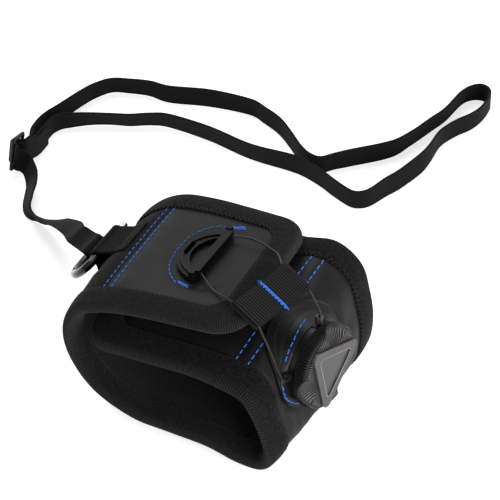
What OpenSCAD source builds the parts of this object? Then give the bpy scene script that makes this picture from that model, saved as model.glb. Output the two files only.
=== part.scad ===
// Padded ankle cuff that closes with a dial-tightened lace, and its webbing strap.
// X runs across the cuff, Y along its axis from the front opening (-Y) to the back, Z up.
// The cuff lies on its side; the origin is on the floor below the middle of the cuff.

/* [Cuff] */
// Half of the cuff's length along its axis
half_len = 41; // [36:0.5:46]
// How far the middle of the wall swells out past its edges
bulge = 1.0; // [0.4:0.1:1.6]
// Thickness of the coated outer panel
panel_t = 1.2; // [0.9:0.1:1.4]
// Thickness of the foam padding
foam_t = 2.4; // [1.6:0.1:2.8]
// Thickness of the inner lining
lining_t = 0.7; // [0.5:0.1:0.9]
// Clearance between two plies
ply_gap = 0.1; // [0.06:0.01:0.12]
// Width of the edge binding on each face
binding_w = 11.5; // [9:0.5:13]
// Thickness of the edge binding
binding_t = 0.6; // [0.4:0.1:0.8]
// Corner radius of the flap's free end
flap_corner_r = 14; // [10:0.5:16]
// Corner radius of the tongue's free end
tongue_corner_r = 13; // [10:0.5:16]
// Gap left in the wall at the flap's fold
fold_gap = 0.3; // [0.2:0.05:0.5]

/* [Reel] */
// Radius of the dial over its grip
dial_r = 18.5; // [17.8:0.1:20]
// Height of the grip ring
grip_h = 6.0; // [5.6:0.1:6.3]
// Ribs round the grip
grip_ribs = 100; // [60:4:110]
// Depth of the grip's ribs
grip_rib_depth = 0.7; // [0.4:0.1:0.9]
// Radius of the dial's inner shell
dial_core_r = 16.5; // [16.2:0.1:17]
// How far the dial lifts to free the lace
dial_lift = 1.6; // [0.8:0.1:1.8]
// Radius of the reel housing's base
housing_r = 17.2; // [16.5:0.1:18]
// Height of the reel housing's base
housing_h = 2.6; // [2.4:0.1:2.8]
// Radius inside the housing
cavity_r = 11.4; // [11.2:0.1:11.6]
// Ratchet teeth inside the housing
ratchet_teeth = 30; // [20:1:36]
// Depth of the ratchet teeth
ratchet_depth = 1.0; // [0.6:0.1:1.2]
// Radius of the fixed axle
axle_r = 2.0; // [1.6:0.1:2.4]
// Radius of the spool's flanges
spool_r = 10.8; // [9:0.1:11]
// Radius of the spool's drum
drum_r = 6.5; // [5:0.1:8]
// Running clearance round the axle
run_gap = 0.06; // [0.03:0.01:0.09]

/* [Lace] */
// Diameter of the lace
lace_d = 1.2; // [1:0.1:1.5]
// Length of the lace spreader across the two runs
spreader_len = 36; // [32:0.5:40]
// Width of the spreader's webbing
spreader_w = 14; // [12:0.5:18]
// Thickness of the spreader's webbing
spreader_t = 1.0; // [0.8:0.1:1.2]

/* [Catch] */
// Length of the catch along its hook
catch_len = 37; // [35:0.5:40]
// Depth of the catch's D from hook to back
catch_depth = 14.5; // [13.5:0.5:16]
// Thickness of the catch's plate
catch_t = 1.8; // [1.4:0.1:2.2]
// Height of the hook rail over the plate's underside
rail_h = 4.2; // [3.8:0.1:5]

/* [Ring and strap] */
// Radius of the D-ring's wire
ring_wire_r = 1.8; // [1.4:0.1:2]
// Radius of the D-ring's round side, to the wire's centre
ring_arc_r = 16.2; // [14:0.1:18]
// Radius of the D-ring's two corners
ring_corner_r = 3.6; // [3:0.1:5]
// Width of the tab that holds the D-ring
tab_w = 20; // [16:0.5:22]
// Thickness of the tab's webbing
tab_t = 1.2; // [0.9:0.1:1.4]
// Width of the strap
strap_w = 10; // [9:0.5:11]
// Thickness of the strap
strap_t = 1.1; // [0.8:0.1:1.3]
// Width of the slider across the strap
slider_w = 16; // [14.5:0.1:17]
// Length of the slider along the strap
slider_len = 12; // [11:0.5:14]
// Radius of the slider's bars
slider_bar_r = 0.9; // [0.8:0.05:1.0]

/* [Hidden] */
$fn = 64;

// ---- Wrap: the cuff's outer face, followed from the flap's tip round to the tongue's tip ----

// Each row gives [x, z] of the outer face at the front edge, then at the back edge
wrap = [
    [[35.5, 72.5], [28.5, 66]],
    [[20, 70.4], [16, 65.8]],
    [[3, 68.6], [0, 65.4]],
    [[-15, 66.2], [-15, 64.6]],
    [[-30, 62.3], [-30, 61.8]],
    [[-40.5, 56], [-41.6, 54.2]],
    [[-45.2, 43], [-48.8, 43.5]],
    [[-42.6, 29], [-46.3, 29]],
    [[-32, 15], [-35.5, 14.5]],
    [[-14.5, 6.8], [-18, 2.6]],
    [[3, 5.6], [3, -0.6]],
    [[20, 4.8], [23, -1.2]],
    [[34, 1.6], [40, -0.6]],
    [[45, 2], [49.8, 5]],
    [[50.5, 9.5], [56, 15.5]],
    [[49, 19.5], [57.6, 29]],
    [[44, 30.8], [55.6, 42.5]],
    [[37.5, 39], [51.4, 54.8]],
    [[26.5, 42.6], [40.2, 62]],
    [[12, 44.4], [25, 59.2]],
    [[-6, 43.6], [5, 58.2]],
    [[-24, 42.8], [-15, 56.8]],
    [[-37, 42], [-34, 53]]
];
last_row = len(wrap) - 1;
fold_row = 4;
seam_row = 18;
row_step = 0.05;

function lerp(a, b, t) = a + (b - a) * t;
function spline(p0, p1, p2, p3, t) =
    0.5 * (2 * p1 + (p2 - p0) * t + (2 * p0 - 5 * p1 + 4 * p2 - p3) * t * t
        + (3 * p1 - 3 * p2 + p3 - p0) * t * t * t);
function held(i, n) = min(max(i, 0), n);
function edge_xz(side, s) =
    let (i = min(floor(s), last_row - 1))
    spline(wrap[held(i - 1, last_row)][side], wrap[i][side], wrap[i + 1][side],
        wrap[held(i + 2, last_row)][side], s - i);
function skin_xz(s, y) = lerp(edge_xz(0, s), edge_xz(1, s), (y + half_len) / (2 * half_len));

// Distance along the wall from the flap's tip, measured halfway along the cuff
track = [for (s = [0 : row_step : last_row + row_step / 2]) skin_xz(min(s, last_row), 0)];
run = [for (i = 0, a = 0; i < len(track); a = a + norm(track[min(i + 1, len(track) - 1)] - track[i]),
    i = i + 1) a];
u_to_row = [for (i = [0 : len(run) - 1]) [run[i], i * row_step]];
row_to_u = [for (i = [0 : len(run) - 1]) [i * row_step, run[i]]];
u_fold = lookup(fold_row, row_to_u);
u_seam = lookup(seam_row, row_to_u);
u_end = lookup(last_row, row_to_u);

// The reel's stiff base holds the wall out above it, and keeps it behind the housing's plane
reel_pos = [51.6, -6, 37];
reel_az = -10;
reel_el = 3;
reel_axis = [cos(reel_el) * cos(reel_az), cos(reel_el) * sin(reel_az), sin(reel_el)];
push_depth = 3.6;
push_row = 17;
push_u_reach = 14;
push_y_reach = 24;
seat_depth = 1.1;
seat_flat_r = 21;
seat_fade_r = 34;
function pushed(u, y) =
    push_depth * exp(-pow((u - lookup(push_row, row_to_u)) / push_u_reach, 2)
        - pow((y - reel_pos[1]) / push_y_reach, 2));
function seated(q) =
    let (
        v = q - reel_pos,
        over = max(v * reel_axis + seat_depth, 0),
        r = norm(v - (v * reel_axis) * reel_axis),
        k = held((seat_fade_r - r) / (seat_fade_r - seat_flat_r), 1)
    )
    over * k * k * (3 - 2 * k) * reel_axis;

wall_t = panel_t + foam_t + lining_t + 2 * ply_gap;
binding_lift = binding_t + ply_gap;

// A point of the wall: u along the wrap, y along the cuff, depth inwards from the outer face
function wrap_pt(u, y, depth) =
    let (
        s = lookup(u, u_to_row),
        t = skin_xz(min(s + row_step, last_row), y) - skin_xz(max(s - row_step, 0), y),
        n = [t[1], -t[0]] / norm(t),
        out = bulge * (1 - pow(y / half_len, 2)) + pushed(u, y),
        skin = skin_xz(s, y) + n * out,
        q = [skin[0], y, skin[1]] - seated([skin[0], y, skin[1]]) - depth * [n[0], 0, n[1]],
        floor_z = depth + (abs(y) > half_len - binding_w - 1 ? binding_lift : 0)
    )
    [q[0], q[1], max(q[2], floor_z)];

// A closed sheet between two grids of points, the first one outermost
module slab(outer, inner) {
    nr = len(outer);
    nc = len(outer[0]);
    n = nr * nc;
    function at(i, j) = i * nc + j;
    pts = concat([for (r = outer) each r], [for (r = inner) each r]);
    tris = concat(
        [for (i = [0 : nr - 2], j = [0 : nc - 2], k = [0, 1])
            k == 0 ? [at(i, j), at(i + 1, j), at(i + 1, j + 1)]
                : [at(i, j), at(i + 1, j + 1), at(i, j + 1)]],
        [for (i = [0 : nr - 2], j = [0 : nc - 2], k = [0, 1])
            k == 0 ? [n + at(i, j), n + at(i + 1, j + 1), n + at(i + 1, j)]
                : [n + at(i, j), n + at(i, j + 1), n + at(i + 1, j + 1)]],
        [for (i = [0 : nr - 2], k = [0, 1])
            k == 0 ? [at(i + 1, 0), at(i, 0), n + at(i, 0)]
                : [at(i + 1, 0), n + at(i, 0), n + at(i + 1, 0)]],
        [for (i = [0 : nr - 2], k = [0, 1])
            k == 0 ? [at(i, nc - 1), at(i + 1, nc - 1), n + at(i + 1, nc - 1)]
                : [at(i, nc - 1), n + at(i + 1, nc - 1), n + at(i, nc - 1)]],
        [for (j = [0 : nc - 2], k = [0, 1])
            k == 0 ? [at(0, j), at(0, j + 1), n + at(0, j + 1)]
                : [at(0, j), n + at(0, j + 1), n + at(0, j)]],
        [for (j = [0 : nc - 2], k = [0, 1])
            k == 0 ? [at(nr - 1, j + 1), at(nr - 1, j), n + at(nr - 1, j)]
                : [at(nr - 1, j + 1), n + at(nr - 1, j), n + at(nr - 1, j + 1)]]
    );
    polyhedron(pts, tris, convexity = 8);
}

// ---- Plies ----

wall_step = 5.5;
edge_inset = binding_t + 0.7;
ply_half = half_len - edge_inset;
under_tape = (half_len - binding_w) / ply_half;
ply_cols = [-1, -under_tape, -under_tape / 2, 0, under_tape / 2, under_tape, 1];
corner_turns = 4;

// Rows [u, half width] of a panel with square ends
function plain_rows(u0, u1, h) =
    let (n = ceil((u1 - u0) / wall_step))
    [for (i = [0 : n]) [lerp(u0, u1, i / n), h]];
// Rows of a panel that is square at u0 and has round corners at u1, which may lie either way
function round_rows(u0, u1, h, r) =
    let (way = u1 > u0 ? 1 : -1, u2 = u1 - way * r, n = ceil(abs(u2 - u0) / wall_step))
    concat(
        [for (i = [0 : n - 1]) [lerp(u0, u2, i / n), h]],
        [for (k = [0 : corner_turns]) let (a = 90 * k / corner_turns)
            [u2 + way * r * sin(a), h - r + r * cos(a)]]
    );
function grid(rows, depth) =
    [for (r = rows) [for (c = ply_cols) wrap_pt(r[0], c * r[1], depth)]];
module ply(rows, depth, thickness) {
    slab(grid(rows, depth), grid(rows, depth + thickness));
}
function turned(rows) = [for (i = [len(rows) - 1 : -1 : 0]) rows[i]];

body_rows = plain_rows(u_fold + fold_gap / 2, u_seam - ply_gap / 2, ply_half);
tongue_rows = round_rows(u_seam + ply_gap / 2, u_end - edge_inset, ply_half,
    tongue_corner_r - edge_inset);
flap_rows = turned(round_rows(u_fold - fold_gap / 2, edge_inset, ply_half,
    flap_corner_r - edge_inset));
foam_depth = panel_t + ply_gap;
lining_depth = foam_depth + foam_t + ply_gap;

// ---- Edge binding: a folded tape, as [distance in from the edge, depth] outside and inside ----

tape_out = [
    [binding_w, -binding_lift],
    [1.4, -binding_lift],
    [0, 0.8],
    [0, wall_t - 0.8],
    [1.4, wall_t + binding_lift],
    [binding_w, wall_t + binding_lift]
];
tape_in = [
    [binding_w, -ply_gap],
    [edge_inset - ply_gap, -ply_gap],
    [binding_t, 0.3],
    [binding_t, wall_t - 0.3],
    [edge_inset - ply_gap, wall_t + ply_gap],
    [binding_w, wall_t + ply_gap]
];
// A tape along a path of [u, y, inward u, inward y]
module tape(path) {
    slab(
        [for (p = path) [for (q = tape_out) wrap_pt(p[0] + q[0] * p[2], p[1] + q[0] * p[3], q[1])]],
        [for (p = path) [for (q = tape_in) wrap_pt(p[0] + q[0] * p[2], p[1] + q[0] * p[3], q[1])]]
    );
}
function straight_edge(u0, u1, side) =
    let (n = ceil(abs(u1 - u0) / wall_step))
    [for (i = [0 : n]) [lerp(u0, u1, i / n), side * half_len, 0, -side]];
// The edge of a panel end with round corners, from u0 at the front round the tip to u0 at the back
function end_edge(u0, u1, r) =
    let (
        way = u1 > u0 ? 1 : -1,
        u2 = u1 - way * r,
        n = ceil(abs(u2 - u0) / wall_step),
        m = ceil(2 * (half_len - r) / (2 * wall_step))
    )
    concat(
        [for (i = [0 : n - 1]) [lerp(u0, u2, i / n), -half_len, 0, 1]],
        [for (k = [0 : 2 * corner_turns]) let (a = 90 * k / (2 * corner_turns))
            [u2 + way * r * sin(a), -(half_len - r) - r * cos(a), -way * sin(a), cos(a)]],
        [for (i = [1 : m - 1]) [u1, lerp(-(half_len - r), half_len - r, i / m), -way, 0]],
        [for (k = [2 * corner_turns : -1 : 0]) let (a = 90 * k / (2 * corner_turns))
            [u2 + way * r * sin(a), (half_len - r) + r * cos(a), -way * sin(a), -cos(a)]],
        [for (i = [n - 1 : -1 : 0]) [lerp(u0, u2, i / n), half_len, 0, -1]]
    );

module body_panel() { color([0.17, 0.17, 0.17]) ply(body_rows, 0, panel_t); }
module body_foam() { color([0.3, 0.3, 0.31]) ply(body_rows, foam_depth, foam_t); }
module body_lining() { color([0.1, 0.1, 0.1]) ply(body_rows, lining_depth, lining_t); }
module body_binding() {
    color([0.11, 0.1, 0.1]) {
        tape(turned(straight_edge(u_fold + fold_gap / 2, u_seam - ply_gap / 2, -1)));
        tape(straight_edge(u_fold + fold_gap / 2, u_seam - ply_gap / 2, 1));
    }
}
module tongue_panel() { color([0.17, 0.17, 0.17]) ply(tongue_rows, 0, panel_t); }
module tongue_foam() { color([0.3, 0.3, 0.31]) ply(tongue_rows, foam_depth, foam_t); }
module tongue_lining() { color([0.1, 0.1, 0.1]) ply(tongue_rows, lining_depth, lining_t); }
module tongue_binding() {
    color([0.11, 0.1, 0.1])
        tape(turned(end_edge(u_seam + ply_gap / 2, u_end, tongue_corner_r)));
}
module flap_panel() { color([0.17, 0.17, 0.17]) ply(flap_rows, 0, panel_t); }
module flap_foam() { color([0.3, 0.3, 0.31]) ply(flap_rows, foam_depth, foam_t); }
module flap_lining() { color([0.1, 0.1, 0.1]) ply(flap_rows, lining_depth, lining_t); }
module flap_binding() {
    color([0.11, 0.1, 0.1]) tape(end_edge(u_fold - fold_gap / 2, 0, flap_corner_r));
}

body_panel();
body_foam();
body_lining();
body_binding();
tongue_panel();
tongue_foam();
tongue_lining();
tongue_binding();
flap_panel();
flap_foam();
flap_lining();
flap_binding();

// ---- Catch: a moulded hook on the flap, in a frame whose Z leaves the flap's face ----

catch_pos = [3, 0.6, 68.1];
catch_tilt = [-2.2, -3.2, 0];
rail_t = 1.6;
lip_reach = 1.8;
lip_t = 1.0;
window_len = 24;
window_depth = 6.6;
window_x = -2.3;
slot_x = -10.6;
slot_len = 8.4;
slot_w = 1.7;
rim_w = 1.5;
rim_h = 0.7;
rim_x = -1;
rim_inset = 2.4;
lip_inset = 3;
post_r = 1.6;
post_rise = 0.5;

module on_catch() { translate(catch_pos) rotate(catch_tilt) children(); }
// Half of an ellipse-like D: an arc through both ends of the hook and the D's back
module d_outline(length, depth) {
    r = (pow(length / 2, 2) + pow(depth, 2)) / (2 * depth);
    intersection() {
        translate([r - depth, 0]) circle(r, $fn = 128);
        translate([-depth, -length / 2]) square([depth, length]);
    }
}
module catch_plate() {
    color([0.16, 0.16, 0.16]) on_catch() {
        difference() {
            union() {
                linear_extrude(catch_t) d_outline(catch_len, catch_depth);
                // Raised rim round the D
                linear_extrude(catch_t + rim_h) difference() {
                    translate([rim_x, 0]) d_outline(catch_len - 2 * rim_inset, catch_depth - rim_inset);
                    translate([rim_x, 0])
                        d_outline(catch_len - 2 * rim_inset - 3 * rim_w, catch_depth - rim_inset - rim_w);
                }
                translate([-rail_t, -catch_len / 2, 0]) cube([rail_t, catch_len, rail_h]);
                // Lip that keeps the lace under the rail
                translate([-rail_t, -catch_len / 2 + lip_inset, rail_h - lip_t])
                    cube([rail_t + lip_reach, catch_len - 2 * lip_inset, lip_t]);
                for (side = [-1, 1])
                    translate([-rail_t / 2, side * (catch_len / 2 - post_r), 0])
                        cylinder(h = rail_h + post_rise, r = post_r);
            }
            translate([window_x, 0, -1]) linear_extrude(rail_h) d_outline(window_len, window_depth);
            translate([slot_x - slot_w / 2, -slot_len / 2, -1]) cube([slot_w, slot_len, rail_h]);
        }
    }
}

// ---- Lace spreader: webbing folded flat round both runs, in a frame along the runs (X) ----

spreader_pos = [37.5, -15.7, 72.8];
spreader_rot = [-3.5, 23.1, -13];
channel_r = lace_d / 2 + 0.08;

module on_spreader() { translate(spreader_pos) rotate(spreader_rot) children(); }
module flat_loop(length, r) {
    translate([0, -length / 2 + r]) circle(r);
    translate([0, length / 2 - r]) circle(r);
    translate([-r, -length / 2 + r]) square([2 * r, length - 2 * r]);
}
module lace_spreader() {
    color([0.12, 0.12, 0.12]) on_spreader()
        rotate([0, 90, 0])
            translate([0, 0, -spreader_w / 2])
                linear_extrude(spreader_w) difference() {
                    flat_loop(spreader_len, channel_r + spreader_t);
                    flat_loop(spreader_len - 2 * spreader_t, channel_r);
                }
}

// ---- Reel frame: Z leaves the housing's base along the dial's axle, Y runs towards the back ----

port_angles = [170, 256];
port_block = 0.3;
port_reach = housing_r + port_block;
port_block_w = 5.6;
port_z = 1.6;
lace_hole_r = lace_d / 2 + 0.1;
port_neck_r = 1.05;
port_neck_len = 1.3;
port_barrel_r = 1.6;
port_barrel_len = 2.6;
base_t = 0.8;
spool_z = base_t + 0.2;
spool_h = 2.4;
port_bore_in = 0.6;
unlock_angles = [45, 105, 165, 225];
unlock_r = 2.2;
unlock_out = 1.2;
tooth_lean = 0.12;
tooth_bite = 0.15;
axle_bore_r = 1;
axle_bore_z = 1.5;
screw_shank_r = 0.96;
screw_shank_len = 4;
screw_slot_len = 3.6;
screw_slot_w = 0.7;
screw_slot_depth = 0.5;
drive_slot_r = 0.8;
drive_slot_in = 2;
arm_t = 1.2;
arm_gap = 2;
arm_tip = [3.6, 2.4];
arm_root = 0.4;
flange_t = 0.5;
ring_top = 5.4;
ring_wall_t = 1.3;
teeth_z = 3.8;
pawl_z = 3.85;
pawl_h = 1.45;
pawl_gap = 0.2;
web_z = ring_top + 0.2;
web_t = 0.6;
axle_top = web_z + web_t + dial_lift + 0.1;
screw_head_r = 3.3;
screw_head_h = 0.8;
skirt_z = housing_h + 0.3;
skirt_r = cavity_r + ratchet_depth + ring_wall_t + 0.5;
core_top = axle_top + screw_head_h + 0.4;
cap_t = 1.3;
cap_corner_r = 3;
cap_corner_reach = 14.2;
cap_turn = 101;
recess_reach = 10.6;
recess_corner_r = 1.6;
recess_depth = 0.6;
scallop_r = 10;
scallop_rise = 6;
grip_edge = 0.1;
grip_gap = 0.02;
grip_bevel = 0.9;
grip_chamfer = 1.6;

module on_reel() { translate(reel_pos) rotate([0, 90 - reel_el, reel_az]) children(); }
module at_ports() { for (a = port_angles) rotate(a) children(); }

// Ring of saw teeth pointing inwards
function saw(n, tip, root) =
    [for (i = [0 : n - 1], k = [0, 1])
        let (a = 360 * (i + tooth_lean * k) / n, r = k == 0 ? root : tip)
        [r * cos(a), r * sin(a)]];

module reel_housing() {
    color([0.09, 0.09, 0.09]) on_reel()
        difference() {
            union() {
                cylinder(h = housing_h, r = housing_r);
                cylinder(h = ring_top, r = cavity_r + ratchet_depth + ring_wall_t);
                at_ports() translate([cavity_r + ratchet_depth, -port_block_w / 2, 0])
                    cube([port_reach - cavity_r - ratchet_depth, port_block_w, housing_h]);
            }
            translate([0, 0, base_t]) cylinder(h = ring_top, r = cavity_r);
            translate([0, 0, teeth_z])
                linear_extrude(ring_top)
                    polygon(saw(ratchet_teeth, cavity_r - tooth_bite, cavity_r + ratchet_depth));
            at_ports() translate([cavity_r - port_bore_in, 0, port_z]) rotate([0, 90, 0])
                cylinder(h = port_reach - cavity_r + 2, r = lace_hole_r, $fn = 24);
            // Notches that let the housing be unlocked from its flange
            for (a = unlock_angles) rotate(port_angles[1] + a)
                translate([housing_r + unlock_out, 0, -1]) cylinder(h = housing_h + 2, r = unlock_r);
        }
}
module lace_ports() {
    color([0.2, 0.2, 0.2]) on_reel() at_ports()
        translate([port_reach + 0.05, 0, port_z]) rotate([0, 90, 0])
            difference() {
                union() {
                    cylinder(h = port_neck_len + 0.1, r = port_neck_r, $fn = 32);
                    translate([0, 0, port_neck_len])
                        cylinder(h = port_barrel_len, r = port_barrel_r, $fn = 32);
                }
                translate([0, 0, -1])
                    cylinder(h = port_neck_len + port_barrel_len + 2, r = lace_hole_r, $fn = 24);
            }
}
module reel_axle() {
    color([0.6, 0.6, 0.62]) on_reel() translate([0, 0, base_t + 0.02]) difference() {
        cylinder(h = axle_top - base_t - 0.02, r = axle_r);
        translate([0, 0, axle_bore_z]) cylinder(h = axle_top, r = axle_bore_r);
    }
}
module axle_screw() {
    color([0.6, 0.6, 0.62]) on_reel() translate([0, 0, axle_top + 0.02]) difference() {
        union() {
            cylinder(h = screw_head_h, r = screw_head_r);
            translate([0, 0, -screw_shank_len])
                cylinder(h = screw_shank_len + screw_head_h / 2, r = screw_shank_r);
        }
        for (a = [0, 90]) rotate(a)
            translate([-screw_slot_len / 2, -screw_slot_w / 2, screw_head_h - screw_slot_depth])
                cube([screw_slot_len, screw_slot_w, screw_head_h]);
    }
}
module lace_spool() {
    color([0.25, 0.25, 0.26]) on_reel() translate([0, 0, spool_z]) difference() {
        union() {
            cylinder(h = flange_t, r = spool_r);
            cylinder(h = spool_h, r = drum_r);
            translate([0, 0, spool_h - flange_t]) cylinder(h = flange_t, r = spool_r);
        }
        translate([0, 0, -1]) cylinder(h = spool_h + 2, r = axle_r + run_gap);
        // Drive slots that the dial's disc sits over
        for (a = [0 : 120 : 240]) rotate(a)
            translate([drum_r - drive_slot_in, 0, spool_h - 1]) cylinder(h = 2, r = drive_slot_r, $fn = 24);
    }
}
module pawl_disc() {
    tip = cavity_r - pawl_gap;
    color([0.75, 0.75, 0.72]) on_reel() translate([0, 0, pawl_z]) difference() {
        union() {
            cylinder(h = pawl_h, r = tip - arm_t - arm_gap);
            // Three sprung arms that ride on the ratchet teeth
            for (a = [0 : 120 : 240]) rotate(a) linear_extrude(pawl_h) {
                intersection() {
                    difference() {
                        circle(tip);
                        circle(tip - arm_t);
                    }
                    polygon([[0, 0], [2 * tip, 0], [2 * tip, 2 * tip], [arm_root * tip, 2 * tip]]);
                }
                rotate(arm_gap) translate([tip - arm_tip[0] - 0.4, 0]) square(arm_tip);
            }
        }
        translate([0, 0, -1]) cylinder(h = pawl_h + 2, r = axle_r + run_gap);
    }
}
module scallops() {
    for (a = [0 : 120 : 240]) rotate(cap_turn + a + 60)
        translate([dial_r, 0, core_top + scallop_rise]) sphere(scallop_r, $fn = 96);
}
module dial_core() {
    color([0.1, 0.1, 0.1]) on_reel() difference() {
        translate([0, 0, skirt_z]) cylinder(h = core_top - skirt_z, r = dial_core_r);
        translate([0, 0, skirt_z - 1]) cylinder(h = web_z - skirt_z + 1, r = skirt_r);
        translate([0, 0, web_z + web_t]) cylinder(h = core_top, r = screw_head_r + 0.6);
        cylinder(h = core_top + 2, r = axle_r + run_gap);
        scallops();
    }
}
function ribbed(n, r, depth) =
    [for (i = [0 : n - 1], k = [0 : 1])
        let (a = 360 * (i + 0.5 * k) / n, q = k == 0 ? r : r - depth)
        [q * cos(a), q * sin(a)]];
module dial_grip() {
    color([0.15, 0.15, 0.15]) on_reel() difference() {
        intersection() {
            translate([0, 0, skirt_z]) linear_extrude(grip_h)
                polygon(ribbed(grip_ribs, dial_r, grip_rib_depth));
            // Bevels on both rims
            translate([0, 0, skirt_z]) rotate_extrude() polygon([
                [0, -1], [dial_r - grip_bevel - 1, -1], [dial_r + grip_edge, grip_bevel + grip_edge],
                [dial_r + grip_edge, grip_h - grip_chamfer], [dial_r - grip_chamfer, grip_h + 1],
                [0, grip_h + 1]
            ]);
        }
        cylinder(h = 2 * core_top, r = dial_core_r + grip_gap);
        scallops();
    }
}
// Triangle with round corners, from circles and the strips between them
module round_triangle(reach, r) {
    corner = [for (k = [0 : 2]) reach * [cos(120 * k), sin(120 * k)]];
    side = [for (k = [0 : 2]) [cos(120 * k + 60), sin(120 * k + 60)]];
    for (c = corner) translate(c) circle(r);
    polygon([for (k = [0 : 2], e = [0, 1]) corner[(k + e) % 3] + r * side[k]]);
}
module dial_cap() {
    color([0.22, 0.22, 0.22]) on_reel() translate([0, 0, core_top + 0.02]) rotate(cap_turn)
        difference() {
            linear_extrude(cap_t) round_triangle(cap_corner_reach, cap_corner_r);
            translate([0, 0, cap_t - recess_depth])
                linear_extrude(cap_t) round_triangle(recess_reach, recess_corner_r);
        }
}

// ---- Reel flange: a soft wedge sewn to the wall, flat on top under the housing ----

flange_r = 21;
flange_rim_t = 0.5;
flange_seat_r = housing_r + 0.5;
flange_seat_gap = 0.02;
flange_wall_gap = 0.75;
flange_step = 12;
reel_row = 16.15;
reel_u = lookup(reel_row, row_to_u);

function on_reel_pt(p) = reel_pos + turn([0, 90 - reel_el, reel_az], p);
// A point turned about X, then Y, then Z
function turn(a, p) =
    let (
        x = [p[0], p[1] * cos(a[0]) - p[2] * sin(a[0]), p[1] * sin(a[0]) + p[2] * cos(a[0])],
        y = [x[0] * cos(a[1]) + x[2] * sin(a[1]), x[1], -x[0] * sin(a[1]) + x[2] * cos(a[1])]
    )
    [y[0] * cos(a[2]) - y[1] * sin(a[2]), y[0] * sin(a[2]) + y[1] * cos(a[2]), y[2]];

// Rings from the middle of the flat top out over the rim and back in along the wall
function top_ring(r) =
    [for (a = [0 : flange_step : 359]) on_reel_pt([-r * cos(a), r * sin(a), -flange_seat_gap])];
function wall_ring(r, height) =
    [for (a = [0 : flange_step : 359])
        wrap_pt(reel_u + r * cos(a), reel_pos[1] + r * sin(a), -flange_wall_gap - height)];
flange_sag = 0.4;
flange_slope = [for (k = [0.25 : 0.25 : 0.75])
    let (a = top_ring(flange_seat_r), b = wall_ring(flange_r, flange_rim_t))
    [for (i = [0 : len(a) - 1])
        lerp(a[i], b[i], k) - flange_sag * k * (1 - k) * norm(b[i] - a[i]) * reel_axis]];
flange_rows = concat(
    [top_ring(flange_seat_r * 0.05), top_ring(flange_seat_r)],
    flange_slope,
    [wall_ring(flange_r, flange_rim_t)],
    [for (k = [7 : -1 : 1]) wall_ring(flange_r * k / 7, 0)],
    [wall_ring(flange_r * 0.05, 0)]
);
module reel_flange() {
    n = len(flange_rows[0]);
    m = len(flange_rows);
    color([0.13, 0.13, 0.13]) polyhedron(
        [for (q = flange_rows) each q],
        concat(
            [for (i = [0 : m - 2], k = [0 : n - 1], h = [0, 1])
                let (a = i * n + k, b = i * n + (k + 1) % n)
                h == 0 ? [a, a + n, b + n] : [a, b + n, b]],
            [[for (k = [0 : n - 1]) k]],
            [[for (k = [n - 1 : -1 : 0]) (m - 1) * n + k]]
        ),
        convexity = 6
    );
}

// ---- Lace: one loop over the hook, and two runs from the spreader to the reel ----

function on_spreader_pt(p) = spreader_pos + turn(spreader_rot, p);

// Catmull-Rom points through a list, with a number of steps in each span
function through(p, steps) =
    let (n = len(p) - 1)
    concat(
        [for (i = [0 : n - 1], k = [0 : steps - 1])
            spline(p[held(i - 1, n)], p[i], p[i + 1], p[held(i + 2, n)], k / steps)],
        [p[n]]
    );
// A round tube along a path of points
module tube(path, r, sides) {
    n = len(path) - 1;
    rings = [for (i = [0 : n])
        let (
            t = path[held(i + 1, n)] - path[held(i - 1, n)],
            w = t / norm(t),
            a = cross(w, abs(w[2]) > 0.9 ? [1, 0, 0] : [0, 0, 1]),
            u = a / norm(a),
            v = cross(w, u)
        )
        [for (k = [0 : sides - 1]) path[i] + r * (cos(360 * k / sides) * u + sin(360 * k / sides) * v)]];
    polyhedron(
        [for (q = rings) each q],
        concat(
            [for (i = [0 : n - 1], k = [0 : sides - 1], h = [0, 1])
                let (a = i * sides + k, b = i * sides + (k + 1) % sides)
                h == 0 ? [a, b, b + sides] : [a, b + sides, a + sides]],
            [[for (k = [sides - 1 : -1 : 0]) k]],
            [[for (k = [0 : sides - 1]) n * sides + k]]
        ),
        convexity = 6
    );
}
channel_y = spreader_len / 2 - spreader_t - channel_r;
hook_gap = 0.2;
hook_x = lace_d / 2 + hook_gap;
hook_y = catch_len / 2 - 4.1;
hook_z = rail_h - lip_t - lace_d / 2 - hook_gap;
hook_turn_r = 2;
// The lace's bend under one end of the lip
function hook_turn(side, angles) =
    [for (a = angles) catch_pos + turn(catch_tilt,
        [hook_x + hook_turn_r * (1 + cos(a)), side * (hook_y - hook_turn_r * (1 - sin(a))), hook_z])];
exit_gap = 0.65;
lace_exit = port_reach + port_neck_len + port_barrel_len + exit_gap;
run_start = 0.5;
run_bow = 0.3;
port_lead = 1.5;
run_back_start = on_spreader_pt([spreader_w / 2 + run_start, channel_y, 0]);
run_front_start = on_spreader_pt([spreader_w / 2 + run_start, -channel_y, 0]);
function port_pt(k, reach) =
    on_reel_pt([reach * cos(port_angles[k]), reach * sin(port_angles[k]), port_z]);
// The last of a run, straight into its port
function port_way(k) = [port_pt(k, lace_exit + port_lead), port_pt(k, lace_exit)];
// A run bows out a little halfway to its port
function run_way(start, way) = [start, (start + way[0]) / 2 + run_bow * reel_axis, each way];

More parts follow.
